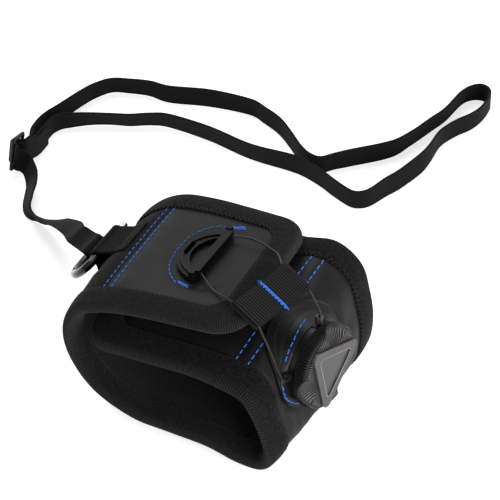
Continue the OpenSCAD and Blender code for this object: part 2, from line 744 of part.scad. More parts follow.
function channel_run(side, xs) = [for (x = xs) on_spreader_pt([x * spreader_w / 2, side * channel_y, 0])];
lace_loop_route = concat(
    channel_run(1, [1, 0, -1, -1.2]),
    [[27.6, 10, 72.4], [19.5, 13.6, 71.9], [12.7, 15.6, 71]],
    hook_turn(1, [90, 135, 180]),
    hook_turn(-1, [180, 150, 125]),
    [[13.8, -20.6, 71], [20, -24, 72.4]],
    channel_run(-1, [-1.2, -1, 0, 1])
);
module lace_loop() { color([0.08, 0.08, 0.08]) tube(through(lace_loop_route, 4), lace_d / 2, 8); }
module lace_run_back() {
    color([0.08, 0.08, 0.08])
        tube(through(run_way(run_back_start, port_way(0)), 4), lace_d / 2, 8);
}
module lace_run_front() {
    color([0.08, 0.08, 0.08])
        tube(through(run_way(run_front_start, port_way(1)), 4), lace_d / 2, 8);
}

catch_plate();
lace_spreader();
lace_loop();
lace_run_front();
lace_run_back();
reel_flange();
reel_housing();
lace_ports();
reel_axle();
axle_screw();
lace_spool();
pawl_disc();
dial_core();
dial_grip();
dial_cap();

// ---- D-ring: its frame runs X from the bar to the round side, Y along the bar ----

ring_pos = [-49.8, 7, 52];
ring_tilt = 130;
ring_play = 0.15;

module on_ring() { translate(ring_pos) rotate([0, ring_tilt, 0]) children(); }
module ring_corner() {
    rotate_extrude(angle = 90) translate([ring_corner_r, 0]) circle(ring_wire_r, $fn = 32);
}
module d_ring() {
    color([0.2, 0.2, 0.21]) on_ring() {
        rotate([90, 0, 0]) translate([0, 0, ring_corner_r - ring_arc_r])
            cylinder(h = 2 * (ring_arc_r - ring_corner_r), r = ring_wire_r, $fn = 32);
        translate([ring_corner_r, ring_arc_r - ring_corner_r, 0]) rotate(90) ring_corner();
        translate([ring_corner_r, ring_corner_r - ring_arc_r, 0]) rotate(180) ring_corner();
        translate([ring_corner_r, 0, 0]) rotate(-90)
            rotate_extrude(angle = 180, $fn = 96) translate([ring_arc_r, 0])
                circle(ring_wire_r, $fn = 32);
    }
}

// A flat band with two edges, as thick as t
function band_side(a, b, t) =
    let (n = len(a) - 1)
    [for (i = [0 : n])
        let (along = a[held(i + 1, n)] - a[held(i - 1, n)], m = cross(b[i] - a[i], along))
        [a[i] + m * t / 2 / norm(m), b[i] + m * t / 2 / norm(m)]];
module band(a, b, t) { slab(band_side(a, b, t), band_side(a, b, -t)); }

// ---- Ring tab: webbing from the fold's seam round the D-ring's bar and back to the wall ----

tab_rows_above = [4.25, 4.45, 4.65, 4.85];
tab_rows_below = [5.95, 6.15, 6.35];
tab_wrap_r = ring_wire_r + ring_play + tab_t / 2;
function tab_edge(y) = concat(
    [for (r = tab_rows_above) wrap_pt(lookup(r, row_to_u), y, -ply_gap - tab_t / 2)],
    [for (a = [70 : 30 : 250])
        [ring_pos[0] + tab_wrap_r * cos(a), y, ring_pos[2] + tab_wrap_r * sin(a)]],
    [for (r = tab_rows_below) wrap_pt(lookup(r, row_to_u), y, -ply_gap - tab_t / 2)]
);
module ring_tab() {
    color([0.05, 0.05, 0.05])
        band(tab_edge(ring_pos[1] - tab_w / 2), tab_edge(ring_pos[1] + tab_w / 2), tab_t);
}

// ---- Strap ----

// Centre of the strap's sewn end on the ring's round side
end_angle = 35;
end_pos = ring_pos + turn([0, ring_tilt, 0],
    [ring_corner_r + ring_arc_r * cos(end_angle), ring_arc_r * sin(end_angle), 0]);
end_width = turn([0, ring_tilt, 0], [-sin(end_angle), cos(end_angle), 0]);
end_heading = [-0.81, 0.55, -0.2];
function unit(v) = v / norm(v);
end_way = unit(end_heading - (end_heading * end_width) * end_width);
end_up = cross(end_way, end_width);
end_loop_r = ring_wire_r + 1 + strap_t / 2;
end_len = 15;
end_ply_gap = 0.3;
end_open = 8;
end_turns = [50 : 26 : 310];

function end_pt(x, z) = end_pos + x * end_way + z * end_up;
end_route = concat(
    [end_pt(end_len, (end_ply_gap + strap_t) / 2), end_pt(end_open, end_ply_gap + strap_t / 2)],
    [for (a = end_turns) end_pt(end_loop_r * cos(a), end_loop_r * sin(a))],
    [end_pt(end_open, -end_ply_gap - strap_t / 2), end_pt(end_len, -(end_ply_gap + strap_t) / 2)]
);
module strap_end() {
    color([0.05, 0.05, 0.05]) band(
        [for (p = end_route) p - end_width * strap_w / 2],
        [for (p = end_route) p + end_width * strap_w / 2],
        strap_t
    );
}

slider_lean = 18;
slider_turn = [0, slider_lean, 95.7];
floor_gap = 0.15;
slider_pos = [-144.9, 93.3,
    slider_w / 2 * cos(slider_lean) + slider_len / 2 * sin(slider_lean) + floor_gap];
slider_way = turn(slider_turn, [1, 0, 0]);
slider_out = turn(slider_turn, [0, 1, 0]);
slider_up = turn(slider_turn, [0, 0, 1]);
slider_pitch = slider_len / 2 - slider_bar_r;
function slider_pt(d, n, z) = slider_pos + d * slider_way + n * slider_out + z * slider_up;
// Round a bar of the slider, which stands at d along it
function round_bar(d, r, angles) = [for (a = angles) slider_pt(d + r * cos(a), r * sin(a), 0)];
ply_r = slider_bar_r + strap_t / 2 + 0.2;

// Rows of [centre, width direction]; the lead runs from the ring's strap end through the slider
lead_route = [
    [end_pt(end_len + end_ply_gap, 0), end_width],
    [end_pt(end_len + 3, 0), end_width],
    [[-83.2, 34.9, 28.6], [0.05, 1, -0.07]],
    [[-94.1, 44.9, 20.5], [-0.19, 0.84, -0.4]],
    [[-102.3, 52, 13.5], [-0.3, 0.75, -0.55]],
    [[-109.7, 56.6, 8], [-0.33, 0.62, -0.7]],
    [[-115, 59.5, 5.2], [-0.35, 0.58, -0.72]],
    [[-119.2, 61.4, 5.2], [-0.45, 0.5, -0.73]],
    [[-122.8, 64.7, 5.2], [-0.55, 0.3, -0.78]],
    [[-125.9, 69.8, 5.1], [-0.55, 0.08, -0.83]],
    [[-128.5, 76.6, 5.1], [-0.57, -0.06, -0.82]],
    [[-131.1, 82.3, 5.4], [-0.5, -0.15, -0.85]],
    [[-133.6, 85.5, 6.9], [-0.35, -0.25, -0.9]],
    [[-137.2, 87.9, 8.6], [-0.1, -0.3, -0.95]],
    [slider_pt(-8, -3.2, -0.3), -slider_up],
    each [for (p = round_bar(-slider_pitch, ply_r, [-90, -45, -5])) [p, -slider_up]],
    each [for (p = round_bar(0, ply_r + strap_t + 0.25, [150, 120, 90, 60, 30])) [p, -slider_up]],
    each [for (p = round_bar(slider_pitch, ply_r, [185, 225, 270])) [p, -slider_up]],
    [slider_pt(9, -1.5, 0), -slider_up]
];
// The loop stands on its edge: [x, y, lean away from the front], from the slider out and back
loop_stops = [
    [-147.4, 112, 9], [-147.6, 122.6, 7], [-145, 133.5, 0], [-141.7, 146.6, -5],
    [-138.6, 155.4, -9], [-133.5, 162.8, -13], [-125.6, 166, -12], [-116.3, 168.5, -9],
    [-105.8, 168.6, -2], [-87.6, 174.3, 0], [-67.8, 176.5, -5], [-58.7, 173.7, -3],
    [-48.6, 169.1, -1], [-39.5, 162, -2], [-31.5, 155, -2], [-25, 151.2, -3],
    [-19.3, 151.2, -4], [-14.6, 156.5, -4], [-9.5, 161.8, -1], [4.2, 175.8, -3],
    [9.1, 187.2, -13], [13, 200.9, -14], [15.9, 211.6, -15], [17.3, 225.8, -14],
    [19.7, 232, -10], [23.5, 235, -4], [27.3, 234.6, -4], [30, 231.4, -6],
    [30.9, 225.3, -7], [30.6, 218.4, -7], [28.6, 211.5, -3], [24.4, 203.6, -3],
    [21.3, 193.6, -3], [21.6, 181.2, 6], [20.9, 171.9, 14], [17.4, 157.7, 11],
    [14, 148.9, 8], [11, 139.8, 2], [7.8, 135.8, -2], [3.3, 134.8, -3],
    [-5.9, 138.2, -2], [-15.5, 142.6, -2], [-24.7, 145.6, -1], [-32.5, 146.5, -1],
    [-52.6, 145.9, -10], [-75, 149.6, -13], [-96.1, 150.2, -17], [-105.1, 147.4, -20],
    [-113.1, 142.6, -21], [-121.8, 139.3, -23], [-130.1, 135.2, -20], [-137.8, 129.9, -11],
    [-141.4, 126.9, -5], [-143.3, 122.4, 0], [-143, 114.5, 5]
];
lean_way = [-0.446, 0.895, 0];
function loop_row(p) = [
    [p[0], p[1], strap_w / 2 * cos(p[2]) + strap_t / 2 * abs(sin(p[2])) + floor_gap],
    sin(p[2]) * lean_way + [0, 0, cos(p[2])]
];
loop_route = concat(
    [for (p = [slider_pt(9.6, -1.5, 0), slider_pt(11.5, -1.2, 0)]) [p, slider_up]],
    [for (p = loop_stops) loop_row(p)],
    [for (p = concat(
        [slider_pt(13.5, -3.7, 0.2), slider_pt(slider_pitch, -ply_r - 1.35, 0), slider_pt(2.9, -1.9, 0)],
        round_bar(0, ply_r, [0, 45, 90, 135, 180, 225]),
        [slider_pt(0.4, -3.4, 0), slider_pt(slider_pitch, -ply_r - 2.7, 0)],
        [slider_pt(13.5, -5.2, 0.2), slider_pt(21.5, -5.6, 2.4)]
    )) [p, slider_up]]
);

// A flat strap swept along rows of [centre, width direction]
strap_edge = 0.3;
module strap(route) {
    n = len(route) - 1;
    a = strap_w / 2;
    b = strap_t / 2;
    section = [
        [a, b - strap_edge], [a - strap_edge, b], [strap_edge - a, b], [-a, b - strap_edge],
        [-a, strap_edge - b], [strap_edge - a, -b], [a - strap_edge, -b], [a, strap_edge - b]
    ];
    sides = len(section);
    rings = [for (i = [0 : n])
        let (
            t = unit(route[held(i + 1, n)][0] - route[held(i - 1, n)][0]),
            w = unit(route[i][1] - (route[i][1] * t) * t),
            m = cross(t, w)
        )
        [for (q = section) route[i][0] + q[0] * w + q[1] * m]];
    polyhedron(
        [for (q = rings) each q],
        concat(
            [for (i = [0 : n - 1], k = [0 : sides - 1], h = [0, 1])
                let (p = i * sides + k, q = i * sides + (k + 1) % sides)
                h == 0 ? [p, q + sides, q] : [p, p + sides, q + sides]],
            [[for (k = [0 : sides - 1]) k]],
            [[for (k = [sides - 1 : -1 : 0]) n * sides + k]]
        ),
        convexity = 8
    );
}
module strap_lead() { color([0.05, 0.05, 0.05]) strap(lead_route); }
module strap_loop() { color([0.05, 0.05, 0.05]) strap(loop_route); }

module strap_slider() {
    rail_x = slider_w / 2 - slider_bar_r;
    color([0.08, 0.08, 0.08]) translate(slider_pos)
        rotate(slider_turn) {
            for (d = [-1, 0, 1]) translate([d * slider_pitch, 0, -rail_x])
                cylinder(h = 2 * rail_x, r = slider_bar_r, $fn = 24);
            for (z = [-1, 1]) {
                translate([-slider_pitch, 0, z * rail_x]) rotate([0, 90, 0])
                    cylinder(h = 2 * slider_pitch, r = slider_bar_r, $fn = 24);
                for (d = [-1, 1]) translate([d * slider_pitch, 0, z * rail_x])
                    sphere(slider_bar_r, $fn = 24);
            }
        }
}

ring_tab();
d_ring();
strap_end();
strap_lead();
strap_slider();
strap_loop();
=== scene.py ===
import math

import bpy
import numpy as np
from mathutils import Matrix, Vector


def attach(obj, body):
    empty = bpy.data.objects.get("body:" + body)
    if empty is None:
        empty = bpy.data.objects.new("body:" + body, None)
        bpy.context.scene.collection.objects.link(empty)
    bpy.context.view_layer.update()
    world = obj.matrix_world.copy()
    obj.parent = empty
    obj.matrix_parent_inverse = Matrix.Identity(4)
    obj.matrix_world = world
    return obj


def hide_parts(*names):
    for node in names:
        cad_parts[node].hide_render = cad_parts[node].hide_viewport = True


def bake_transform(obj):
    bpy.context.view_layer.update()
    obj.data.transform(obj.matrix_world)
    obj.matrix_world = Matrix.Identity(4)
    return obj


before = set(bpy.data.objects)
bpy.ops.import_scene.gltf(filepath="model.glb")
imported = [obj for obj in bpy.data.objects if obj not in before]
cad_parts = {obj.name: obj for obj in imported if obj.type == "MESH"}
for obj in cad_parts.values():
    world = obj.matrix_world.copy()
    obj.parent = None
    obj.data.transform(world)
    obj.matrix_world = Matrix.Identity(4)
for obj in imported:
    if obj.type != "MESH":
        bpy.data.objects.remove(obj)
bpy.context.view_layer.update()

# ---- Camera ----
# A long lens that looks down on the cuff from in front of its opening, a little to the dial's side.
# The cuff, the dial and the whole strap fill its square view.
view_azimuth = math.radians(26.5)
view_elevation = math.radians(39.0)
view_distance = 1.328
view_aim = Vector((0.0074, 0.0256, 0.0558))
view_back = Vector((
    math.sin(view_azimuth) * math.cos(view_elevation),
    -math.cos(view_azimuth) * math.cos(view_elevation),
    math.sin(view_elevation),
))
camera_data = bpy.data.cameras.new("camera")
camera_data.lens = 230.4
camera_data.sensor_width = 36.0
camera = bpy.data.objects.new("camera", camera_data)
camera.location = view_aim + view_back * view_distance
camera.rotation_euler = (-view_back).to_track_quat("-Z", "Y").to_euler()
bpy.context.scene.collection.objects.link(camera)
bpy.context.scene.camera = camera

# ---- Strap ----
# One length of 10 mm woven polyester webbing. Its end is sewn round the D-ring, the lead runs
# down to the slider, and the rest is a long wrist loop that comes back to the slider's bar.


def unit(v):
    v = np.asarray(v, float)
    return v / np.linalg.norm(v, axis=-1, keepdims=True)


def turned(angles, points):
    """Points turned about X, then Y, then Z, by angles in degrees."""
    points = np.array(points, float)
    for axis, angle in enumerate(np.radians(angles)):
        a, b = (axis + 1) % 3, (axis + 2) % 3
        p, q = points[..., a], points[..., b]
        c, s = math.cos(angle), math.sin(angle)
        points[..., [a, b]] = np.stack([p * c - q * s, p * s + q * c], -1)
    return points


def spline(a, b, c, d, t):
    """A smooth curve from b to c, led by its neighbours a and d."""
    return 0.5 * (2 * b + (c - a) * t + (2 * a - 5 * b + 4 * c - d) * t * t + (3 * b - 3 * c + d - a) * t ** 3)


def through(points, steps):
    """A smooth line through a list of points, with a number of steps in each span."""
    p = np.asarray(points, float)
    q = np.vstack([p[:1], p, p[-1:]])
    t = (np.arange(steps) / steps)[:, None]
    return np.vstack([spline(*near, t) for near in zip(q[:-3], q[1:-2], q[2:-1], q[3:])] + [p[-1:]])


def distance_along(path):
    return np.concatenate([[0], np.cumsum(np.linalg.norm(np.diff(path, axis=0), axis=1))])


def at_run(values, run, at):
    """What a path holds at given distances along it."""
    return np.stack([np.interp(at, run, column) for column in values.T], -1)


def evenly(path, spacing, *others):
    """The path, and what goes with each of its points, sampled again at an even spacing."""
    run = distance_along(path)
    at = np.linspace(0, run[-1], max(2, int(math.ceil(run[-1] / spacing)) + 1))
    out = [at_run(values, run, at) for values in (path, *others)]
    return out if others else out[0]


def quads(grid, closed=True):
    """Faces between the rows of a grid of point numbers. Each row may be a closed ring."""
    if closed:
        grid = np.hstack([grid, grid[:, :1]])
    return np.stack([grid[:-1, :-1], grid[:-1, 1:], grid[1:, 1:], grid[1:, :-1]], -1).reshape(-1, 4)


def tube_faces(rings, sides):
    """Faces round a row of rings, and a cap at both ends."""
    grid = np.arange(rings * sides).reshape(rings, sides)
    return quads(grid).tolist() + [grid[0, ::-1].tolist(), grid[-1].tolist()]


sharp_angle = math.radians(65)


def make_piece(name, points, faces, weave, material, node=None, slot=None, body=None):
    """A smooth mesh in its material. It may stand for a CAD node, and ride on a body. Its slot argument is not used.

    weave holds where each point lies on its own cloth: along, across, and a mask.
    """
    mesh = bpy.data.meshes.new(name)
    mesh.from_pydata(np.asarray(points, float).reshape(-1, 3).tolist(), [], faces)
    mesh.polygons.foreach_set("use_smooth", [True] * len(mesh.polygons))
    mesh.set_sharp_from_angle(angle=sharp_angle)
    if weave is not None:
        attribute = mesh.attributes.new("weave", "FLOAT_VECTOR", "POINT")
        attribute.data.foreach_set("vector", np.asarray(weave, np.float32).ravel())
    mesh.update()
    mesh.materials.append(material)
    piece = bpy.data.objects.new(name, mesh)
    bpy.context.scene.collection.objects.link(piece)
    if node:
        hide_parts(node)
    if body:
        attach(piece, body)
    return piece


def as_weave(along, across, mask=0):
    """Rows of (along, across, mask) from values that go by ring and by side."""
    return np.stack(np.broadcast_arrays(along[:, None], across[None], mask), -1).reshape(-1, 3)


def swept(path, widths, section):
    """A flat band along a path: its points, faces and weave. section is a loop of (across, up)."""
    along = unit(np.gradient(path, axis=0))
    wide = unit(widths - np.sum(widths * along, -1, keepdims=True) * along)
    thick = np.cross(along, wide)
    points = path[:, None] + section[None, :, :1] * wide[:, None] + section[None, :, 1:] * thick[:, None]
    return points.reshape(-1, 3), tube_faces(*points.shape[:2]), as_weave(distance_along(path), section[:, 0])


def feed(tree, value, socket):
    """Gives a socket a plain value, or links it to a field."""
    if isinstance(value, Field):
        tree.links.new(value.socket, socket)
    else:
        socket.default_value = value


class Field:
    """A value that changes over a surface. Arithmetic on it adds Math nodes to its shader."""

    def __init__(self, tree, socket):
        self.tree = tree
        self.socket = socket

    def math(self, operation, *others):
        node = self.tree.nodes.new("ShaderNodeMath")
        node.operation = operation
        for value, socket in zip((self, *others), node.inputs):
            feed(self.tree, value, socket)
        return Field(self.tree, node.outputs[0])

    def __add__(self, other):
        return self.math("ADD", other)

    def __sub__(self, other):
        return self.math("SUBTRACT", other)

    def __mul__(self, other):
        return self.math("MULTIPLY", other)

    def __truediv__(self, other):
        return self.math("DIVIDE", other)

    def __pow__(self, other):
        return self.math("POWER", other)

    def sine(self):
        return self.math("SINE")

    def between(self, low, high):
        return self.math("MAXIMUM", low).math("MINIMUM", high)


def own_space(tree):
    return tree.nodes.new("ShaderNodeTexCoord").outputs["Object"]


def cloth_place(tree):
    """Along and across, in metres, on the piece's own cloth, and its mask."""
    node = tree.nodes.new("ShaderNodeAttribute")
    node.attribute_name = "weave"
    split = tree.nodes.new("ShaderNodeSeparateXYZ")
    tree.links.new(node.outputs["Vector"], split.inputs[0])
    return [Field(tree, part) for part in split.outputs]


def speckle(tree, scale, detail=2.0):
    """Noise over the piece's own space, from 0 to 1."""
    noise = tree.nodes.new("ShaderNodeTexNoise")
    noise.inputs["Detail"].default_value = detail
    feed(tree, scale, noise.inputs["Scale"])
    tree.links.new(own_space(tree), noise.inputs["Vector"])
    return Field(tree, noise.outputs["Fac"])


def new_group(build, *inputs):
    """A shader group of the fields that build(tree, ...) returns by name, from named float inputs."""
    group = bpy.data.node_groups.new(build.__name__, "ShaderNodeTree")
    for label in inputs:
        group.interface.new_socket(label, in_out="INPUT", socket_type="NodeSocketFloat")
    taken = group.nodes.new("NodeGroupInput").outputs
    fields = build(group, *(Field(group, taken[label]) for label in inputs))
    given = group.nodes.new("NodeGroupOutput")
    for label, field in fields.items():
        group.interface.new_socket(label, in_out="OUTPUT", socket_type="NodeSocketFloat")
        feed(group, field, given.inputs[label])
    return group


def place_group(tree, group, **values):
    """A group set in a material: its outputs by name."""
    node = tree.nodes.new("ShaderNodeGroup")
    node.node_tree = group
    for label, value in values.items():
        node.inputs[label].default_value = value
    return {output.name: Field(tree, output) for output in node.outputs}


class Finish:
    """A material and its Principled shader."""

    def __init__(self, name, roughness, specular=0.5, metallic=0.0, sheen=0.0):
        self.material = bpy.data.materials.new(name)
        self.material.use_nodes = True
        self.tree = self.material.node_tree
        self.shader = self.tree.nodes["Principled BSDF"]
        for label, value in (("Roughness", roughness), ("Specular IOR Level", specular),
                             ("Metallic", metallic), ("Sheen Weight", sheen)):
            self.set(label, value)

    def set(self, label, value):
        feed(self.tree, value, self.shader.inputs[label])

    def tones(self, shade, dark, light):
        """Base colour between a dark and a light tone. One number is a grey."""
        ramp = self.tree.nodes.new("ShaderNodeValToRGB")
        for stop, colour in zip(ramp.color_ramp.elements, (dark, light)):
            stop.color = (*np.broadcast_to(colour, 3), 1)
        feed(self.tree, shade, ramp.inputs[0])
        self.set("Base Color", Field(self.tree, ramp.outputs[0]))

    def relief(self, height, distance, strength):
        bump = self.tree.nodes.new("ShaderNodeBump")
        bump.inputs["Strength"].default_value = strength
        bump.inputs["Distance"].default_value = distance
        feed(self.tree, height, bump.inputs["Height"])
        self.set("Normal", Field(self.tree, bump.outputs[0]))


def patterned(name, group, dark, light, distance, strength, roughness, specular=0.1, sheen=0.0, **values):
    """A material whose tones and relief, and gloss where the group has one, come from a shader group."""
    finish = Finish(name, roughness, specular, sheen=sheen)
    fields = place_group(finish.tree, group, **values)
    finish.tones(fields["Shade"], dark, light)
    finish.relief(fields["Height"], distance, strength)
    if "Gloss" in fields:
        finish.set("Roughness", fields["Gloss"])
    return finish.material


def woven_threads(tree, cord_pitch, pick_pitch):
    """Threads that cross: fine cords along the band, tied down by picks across it."""
    along, across, _ = cloth_place(tree)
    cord = across / cord_pitch
    pick = along / pick_pitch + cord.math("FLOOR") * 0.5
    height = (cord * math.tau).sine() * 0.3 + (pick * math.tau).sine() * 0.2 + 0.5
    # Half the colour follows the relief, painted shade in the hollows between threads; the other half is random
    # tone.
    return {"Height": height, "Shade": height * 0.5 + speckle(tree, 900.0) * 0.5}


weave_group = new_group(woven_threads, "cord_pitch", "pick_pitch")


def webbing_material(name, cord_pitch, pick_pitch, dark, light):
    return patterned(name, weave_group, dark, light, 0.00012, 0.8, roughness=0.85, sheen=0.04,
                     cord_pitch=cord_pitch, pick_pitch=pick_pitch)


strap_webbing = webbing_material("strap_webbing", 0.0011, 0.0014, (0.0012, 0.0011, 0.0011), (0.0068, 0.0062, 0.0064))

# The webbing's section is thicker along both selvedges
strap_w = 0.010
strap_t = 0.0011
selvedge = [(1, 0.35), (0.97, 0.8), (0.9, 1), (0.84, 0.9), (0.45, 0.95)]
upper_half = selvedge + [(0, 1)] + [(-across, up) for across, up in selvedge[::-1]]
strap_section = np.array(upper_half + [(-across, -up) for across, up in upper_half]) * (strap_w / 2, strap_t / 2)

ring_pos = np.array([-0.0498, 0.007, 0.052])
ring_tilt = 130.0
ring_wire_r = 0.0018
ring_arc_r = 0.0162
ring_corner_r = 0.0036
end_angle = math.radians(35)
end_out = turned([0, ring_tilt, 0], [math.cos(end_angle), math.sin(end_angle), 0])
end_pos = ring_pos + turned([0, ring_tilt, 0], [ring_corner_r, 0, 0]) + ring_arc_r * end_out
end_width = turned([0, ring_tilt, 0], [-math.sin(end_angle), math.cos(end_angle), 0])
end_heading = np.array([-0.81, 0.55, -0.2])
end_way = unit(end_heading - (end_heading @ end_width) * end_width)
end_up = np.cross(end_way, end_width)
eye_slack = 0.001
end_loop_r = ring_wire_r + eye_slack + strap_t / 2
end_len = 0.015
end_gap = 0.00015
end_neck = 0.008
neck_gap = 0.0003
end_spacing = 0.0008
lead_overlap = 0.0015
lead_straight = 0.003
lead_hold = 0.004


def end_pt(x, z=0.0):
    return end_pos + x * end_way + z * end_up


def end_side(way):
    """The strap on one side of the sewn eye, from its end to where it opens round the ring."""
    return [end_pt(end_len, way * (end_gap + strap_t / 2)), end_pt(end_neck, way * (neck_gap + strap_t / 2))]


def strap_band(name, stops, steps, spacing, node, body=None):
    """A length of strap through (centre, direction of its width) stops, and the line that it follows."""
    line, width = (through(column, steps) for column in zip(*stops))
    line, width = evenly(line, spacing, width)
    return make_piece(name, *swept(line, width, strap_section), strap_webbing, node, "webbing", body), line


round_ring = [end_pt(end_loop_r * math.cos(a), end_loop_r * math.sin(a)) for a in np.radians(np.arange(50, 311, 26))]
end_stops = end_side(1) + round_ring + end_side(-1)[::-1]
strap_band("end_loop", [(p, end_width) for p in end_stops], 6, end_spacing, "strap_end", "ring")

slider_w = 0.016
slider_len = 0.012
slider_bar_r = 0.0009
slider_pitch = slider_len / 2 - slider_bar_r
slider_lean = 18
slider_turn = [0, slider_lean, 95.7]
floor_gap = 0.00015
slider_height = (slider_w / 2 * math.cos(math.radians(slider_lean))
                 + slider_len / 2 * math.sin(math.radians(slider_lean)) + floor_gap)
slider_pos = np.array([-0.1449, 0.0933, slider_height])
slider_way, slider_out, slider_up = (turned(slider_turn, axis) for axis in np.eye(3))
bar_gap = 0.0002
stack_gap = 0.00025
round_r = slider_bar_r + strap_t / 2 + bar_gap


def slider_pt(d, n, z):
    return slider_pos + d * slider_way + n * slider_out + z * slider_up


def round_bar(d, r, angles):
    """Points round a bar of the slider that stands at d along it."""
    return [slider_pt(d + r * math.cos(a), r * math.sin(a), 0) for a in np.radians(angles)]


# The lead's width twists from flat at the ring to upright at the slider
lead_stops = [
    (end_pt(end_len - lead_overlap), end_width),
    (end_pt(end_len + lead_straight), end_width),
    ((-0.0832, 0.0349, 0.0286), (0.05, 1, -0.07)),
    ((-0.0941, 0.0449, 0.0205), (-0.19, 0.84, -0.4)),
    ((-0.1023, 0.052, 0.0135), (-0.3, 0.75, -0.55)),
    ((-0.1097, 0.0566, 0.008), (-0.33, 0.62, -0.7)),
    ((-0.115, 0.0595, 0.0052), (-0.35, 0.58, -0.72)),
    ((-0.1192, 0.0614, 0.0052), (-0.45, 0.5, -0.73)),
    ((-0.1228, 0.0647, 0.0052), (-0.55, 0.3, -0.78)),
    ((-0.1259, 0.0698, 0.0051), (-0.55, 0.08, -0.83)),
    ((-0.1285, 0.0766, 0.0051), (-0.57, -0.06, -0.82)),
    ((-0.1311, 0.0823, 0.0054), (-0.5, -0.15, -0.85)),
    ((-0.1336, 0.0855, 0.0069), (-0.35, -0.25, -0.9)),
    ((-0.1372, 0.0879, 0.0086), (-0.1, -0.3, -0.95)),
]
in_slider = [slider_pt(-0.008, -0.0032, -0.0003)]
in_slider += round_bar(-slider_pitch, round_r, [-90, -45, -5])
in_slider += round_bar(0, round_r + strap_t + stack_gap, [150, 120, 90, 60, 30])
in_slider += round_bar(slider_pitch, round_r, [185, 225, 270]) + [slider_pt(0.009, -0.0015, 0)]
lead_stops += [(p, -slider_up) for p in in_slider]
strap_spacing = 0.0009
lead_band, lead_line = strap_band("lead_band", lead_stops, 6, strap_spacing, "strap_lead")
tuple(end_pt(end_len + lead_hold))
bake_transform(lead_band)

# The loop stands on its edge: (x, y, lean in degrees away from the front) out from the slider and back
loop_stops = [
    (-0.1474, 0.112, 9), (-0.1476, 0.1226, 7), (-0.145, 0.1335, 0), (-0.1417, 0.1466, -5),
    (-0.1386, 0.1554, -9), (-0.1335, 0.1628, -13), (-0.1256, 0.166, -12), (-0.1163, 0.1685, -9),
    (-0.1058, 0.1686, -2), (-0.0876, 0.1743, 0), (-0.0678, 0.1765, -5), (-0.0587, 0.1737, -3),
    (-0.0486, 0.1691, -1), (-0.0395, 0.162, -2), (-0.0315, 0.155, -2), (-0.025, 0.1512, -3),
    (-0.0193, 0.1512, -4), (-0.0146, 0.1565, -4), (-0.0095, 0.1618, -1), (0.0042, 0.1758, -3),
    (0.0091, 0.1872, -13), (0.013, 0.2009, -14), (0.0159, 0.2116, -15), (0.0173, 0.2258, -14),
    (0.0197, 0.232, -10), (0.0235, 0.235, -4), (0.0273, 0.2346, -4), (0.03, 0.2314, -6),
    (0.0309, 0.2253, -7), (0.0306, 0.2184, -7), (0.0286, 0.2115, -3), (0.0244, 0.2036, -3),
    (0.0213, 0.1936, -3), (0.0216, 0.1812, 6), (0.0209, 0.1719, 14), (0.0174, 0.1577, 11),
    (0.014, 0.1489, 8), (0.011, 0.1398, 2), (0.0078, 0.1358, -2), (0.0033, 0.1348, -3),
    (-0.0059, 0.1382, -2), (-0.0155, 0.1426, -2), (-0.0247, 0.1456, -1), (-0.0325, 0.1465, -1),
    (-0.0526, 0.1459, -10), (-0.075, 0.1496, -13), (-0.0961, 0.1502, -17), (-0.1051, 0.1474, -20),
    (-0.1131, 0.1426, -21), (-0.1218, 0.1393, -23), (-0.1301, 0.1352, -20), (-0.1378, 0.1299, -11),
    (-0.1414, 0.1269, -5), (-0.1433, 0.1224, 0), (-0.143, 0.1145, 5),
]
lean_way = np.array([-0.446, 0.895, 0])


def loop_row(x, y, lean):
    """A strap centre that stands clear of the floor at its lean, and its width direction."""
    a = math.radians(lean)
    height = strap_w / 2 * math.cos(a) + strap_t / 2 * abs(math.sin(a)) + floor_gap
    return (x, y, height), math.sin(a) * lean_way + (0, 0, math.cos(a))


back_to_bar = [slider_pt(0.0135, -0.0037, 0.0002), slider_pt(slider_pitch, -round_r - 0.00135, 0)]
back_to_bar += [slider_pt(0.0029, -0.0019, 0)] + round_bar(0, round_r, [0, 45, 90, 135, 180, 225])
back_to_bar += [slider_pt(0.0004, -0.0034, 0), slider_pt(slider_pitch, -round_r - 0.0027, 0)]
back_to_bar += [slider_pt(0.0135, -0.0052, 0.0002), slider_pt(0.0215, -0.0056, 0.0024)]
loop_rows = [(slider_pt(0.0096, -0.0015, 0), slider_up), (slider_pt(0.0115, -0.0012, 0), slider_up)]
loop_rows += [loop_row(*stop) for stop in loop_stops] + [(p, slider_up) for p in back_to_bar]
loop_band, loop_line = strap_band("loop_band", loop_rows, 8, strap_spacing, "strap_loop", "cuff")

# ---- Cuff wall ----
# Three plies wrap once round the limb and overlap: a coated outer panel, closed-cell foam and a
# brushed lining. They are cut flat, sewn together at the seams and shaped by the wrap itself.
half_len = 0.041
bulge = 0.001
panel_t = 0.0012
foam_t = 0.0024
lining_t = 0.0007
ply_gap = 0.0001
binding_w = 0.0115
binding_t = 0.0006
wall_t = panel_t + foam_t + lining_t + 2 * ply_gap
binding_lift = binding_t + ply_gap
binding_room = 0.0007
edge_inset = binding_t + binding_room
ply_half = half_len - edge_inset
flap_corner_r = 0.014
tongue_corner_r = 0.013

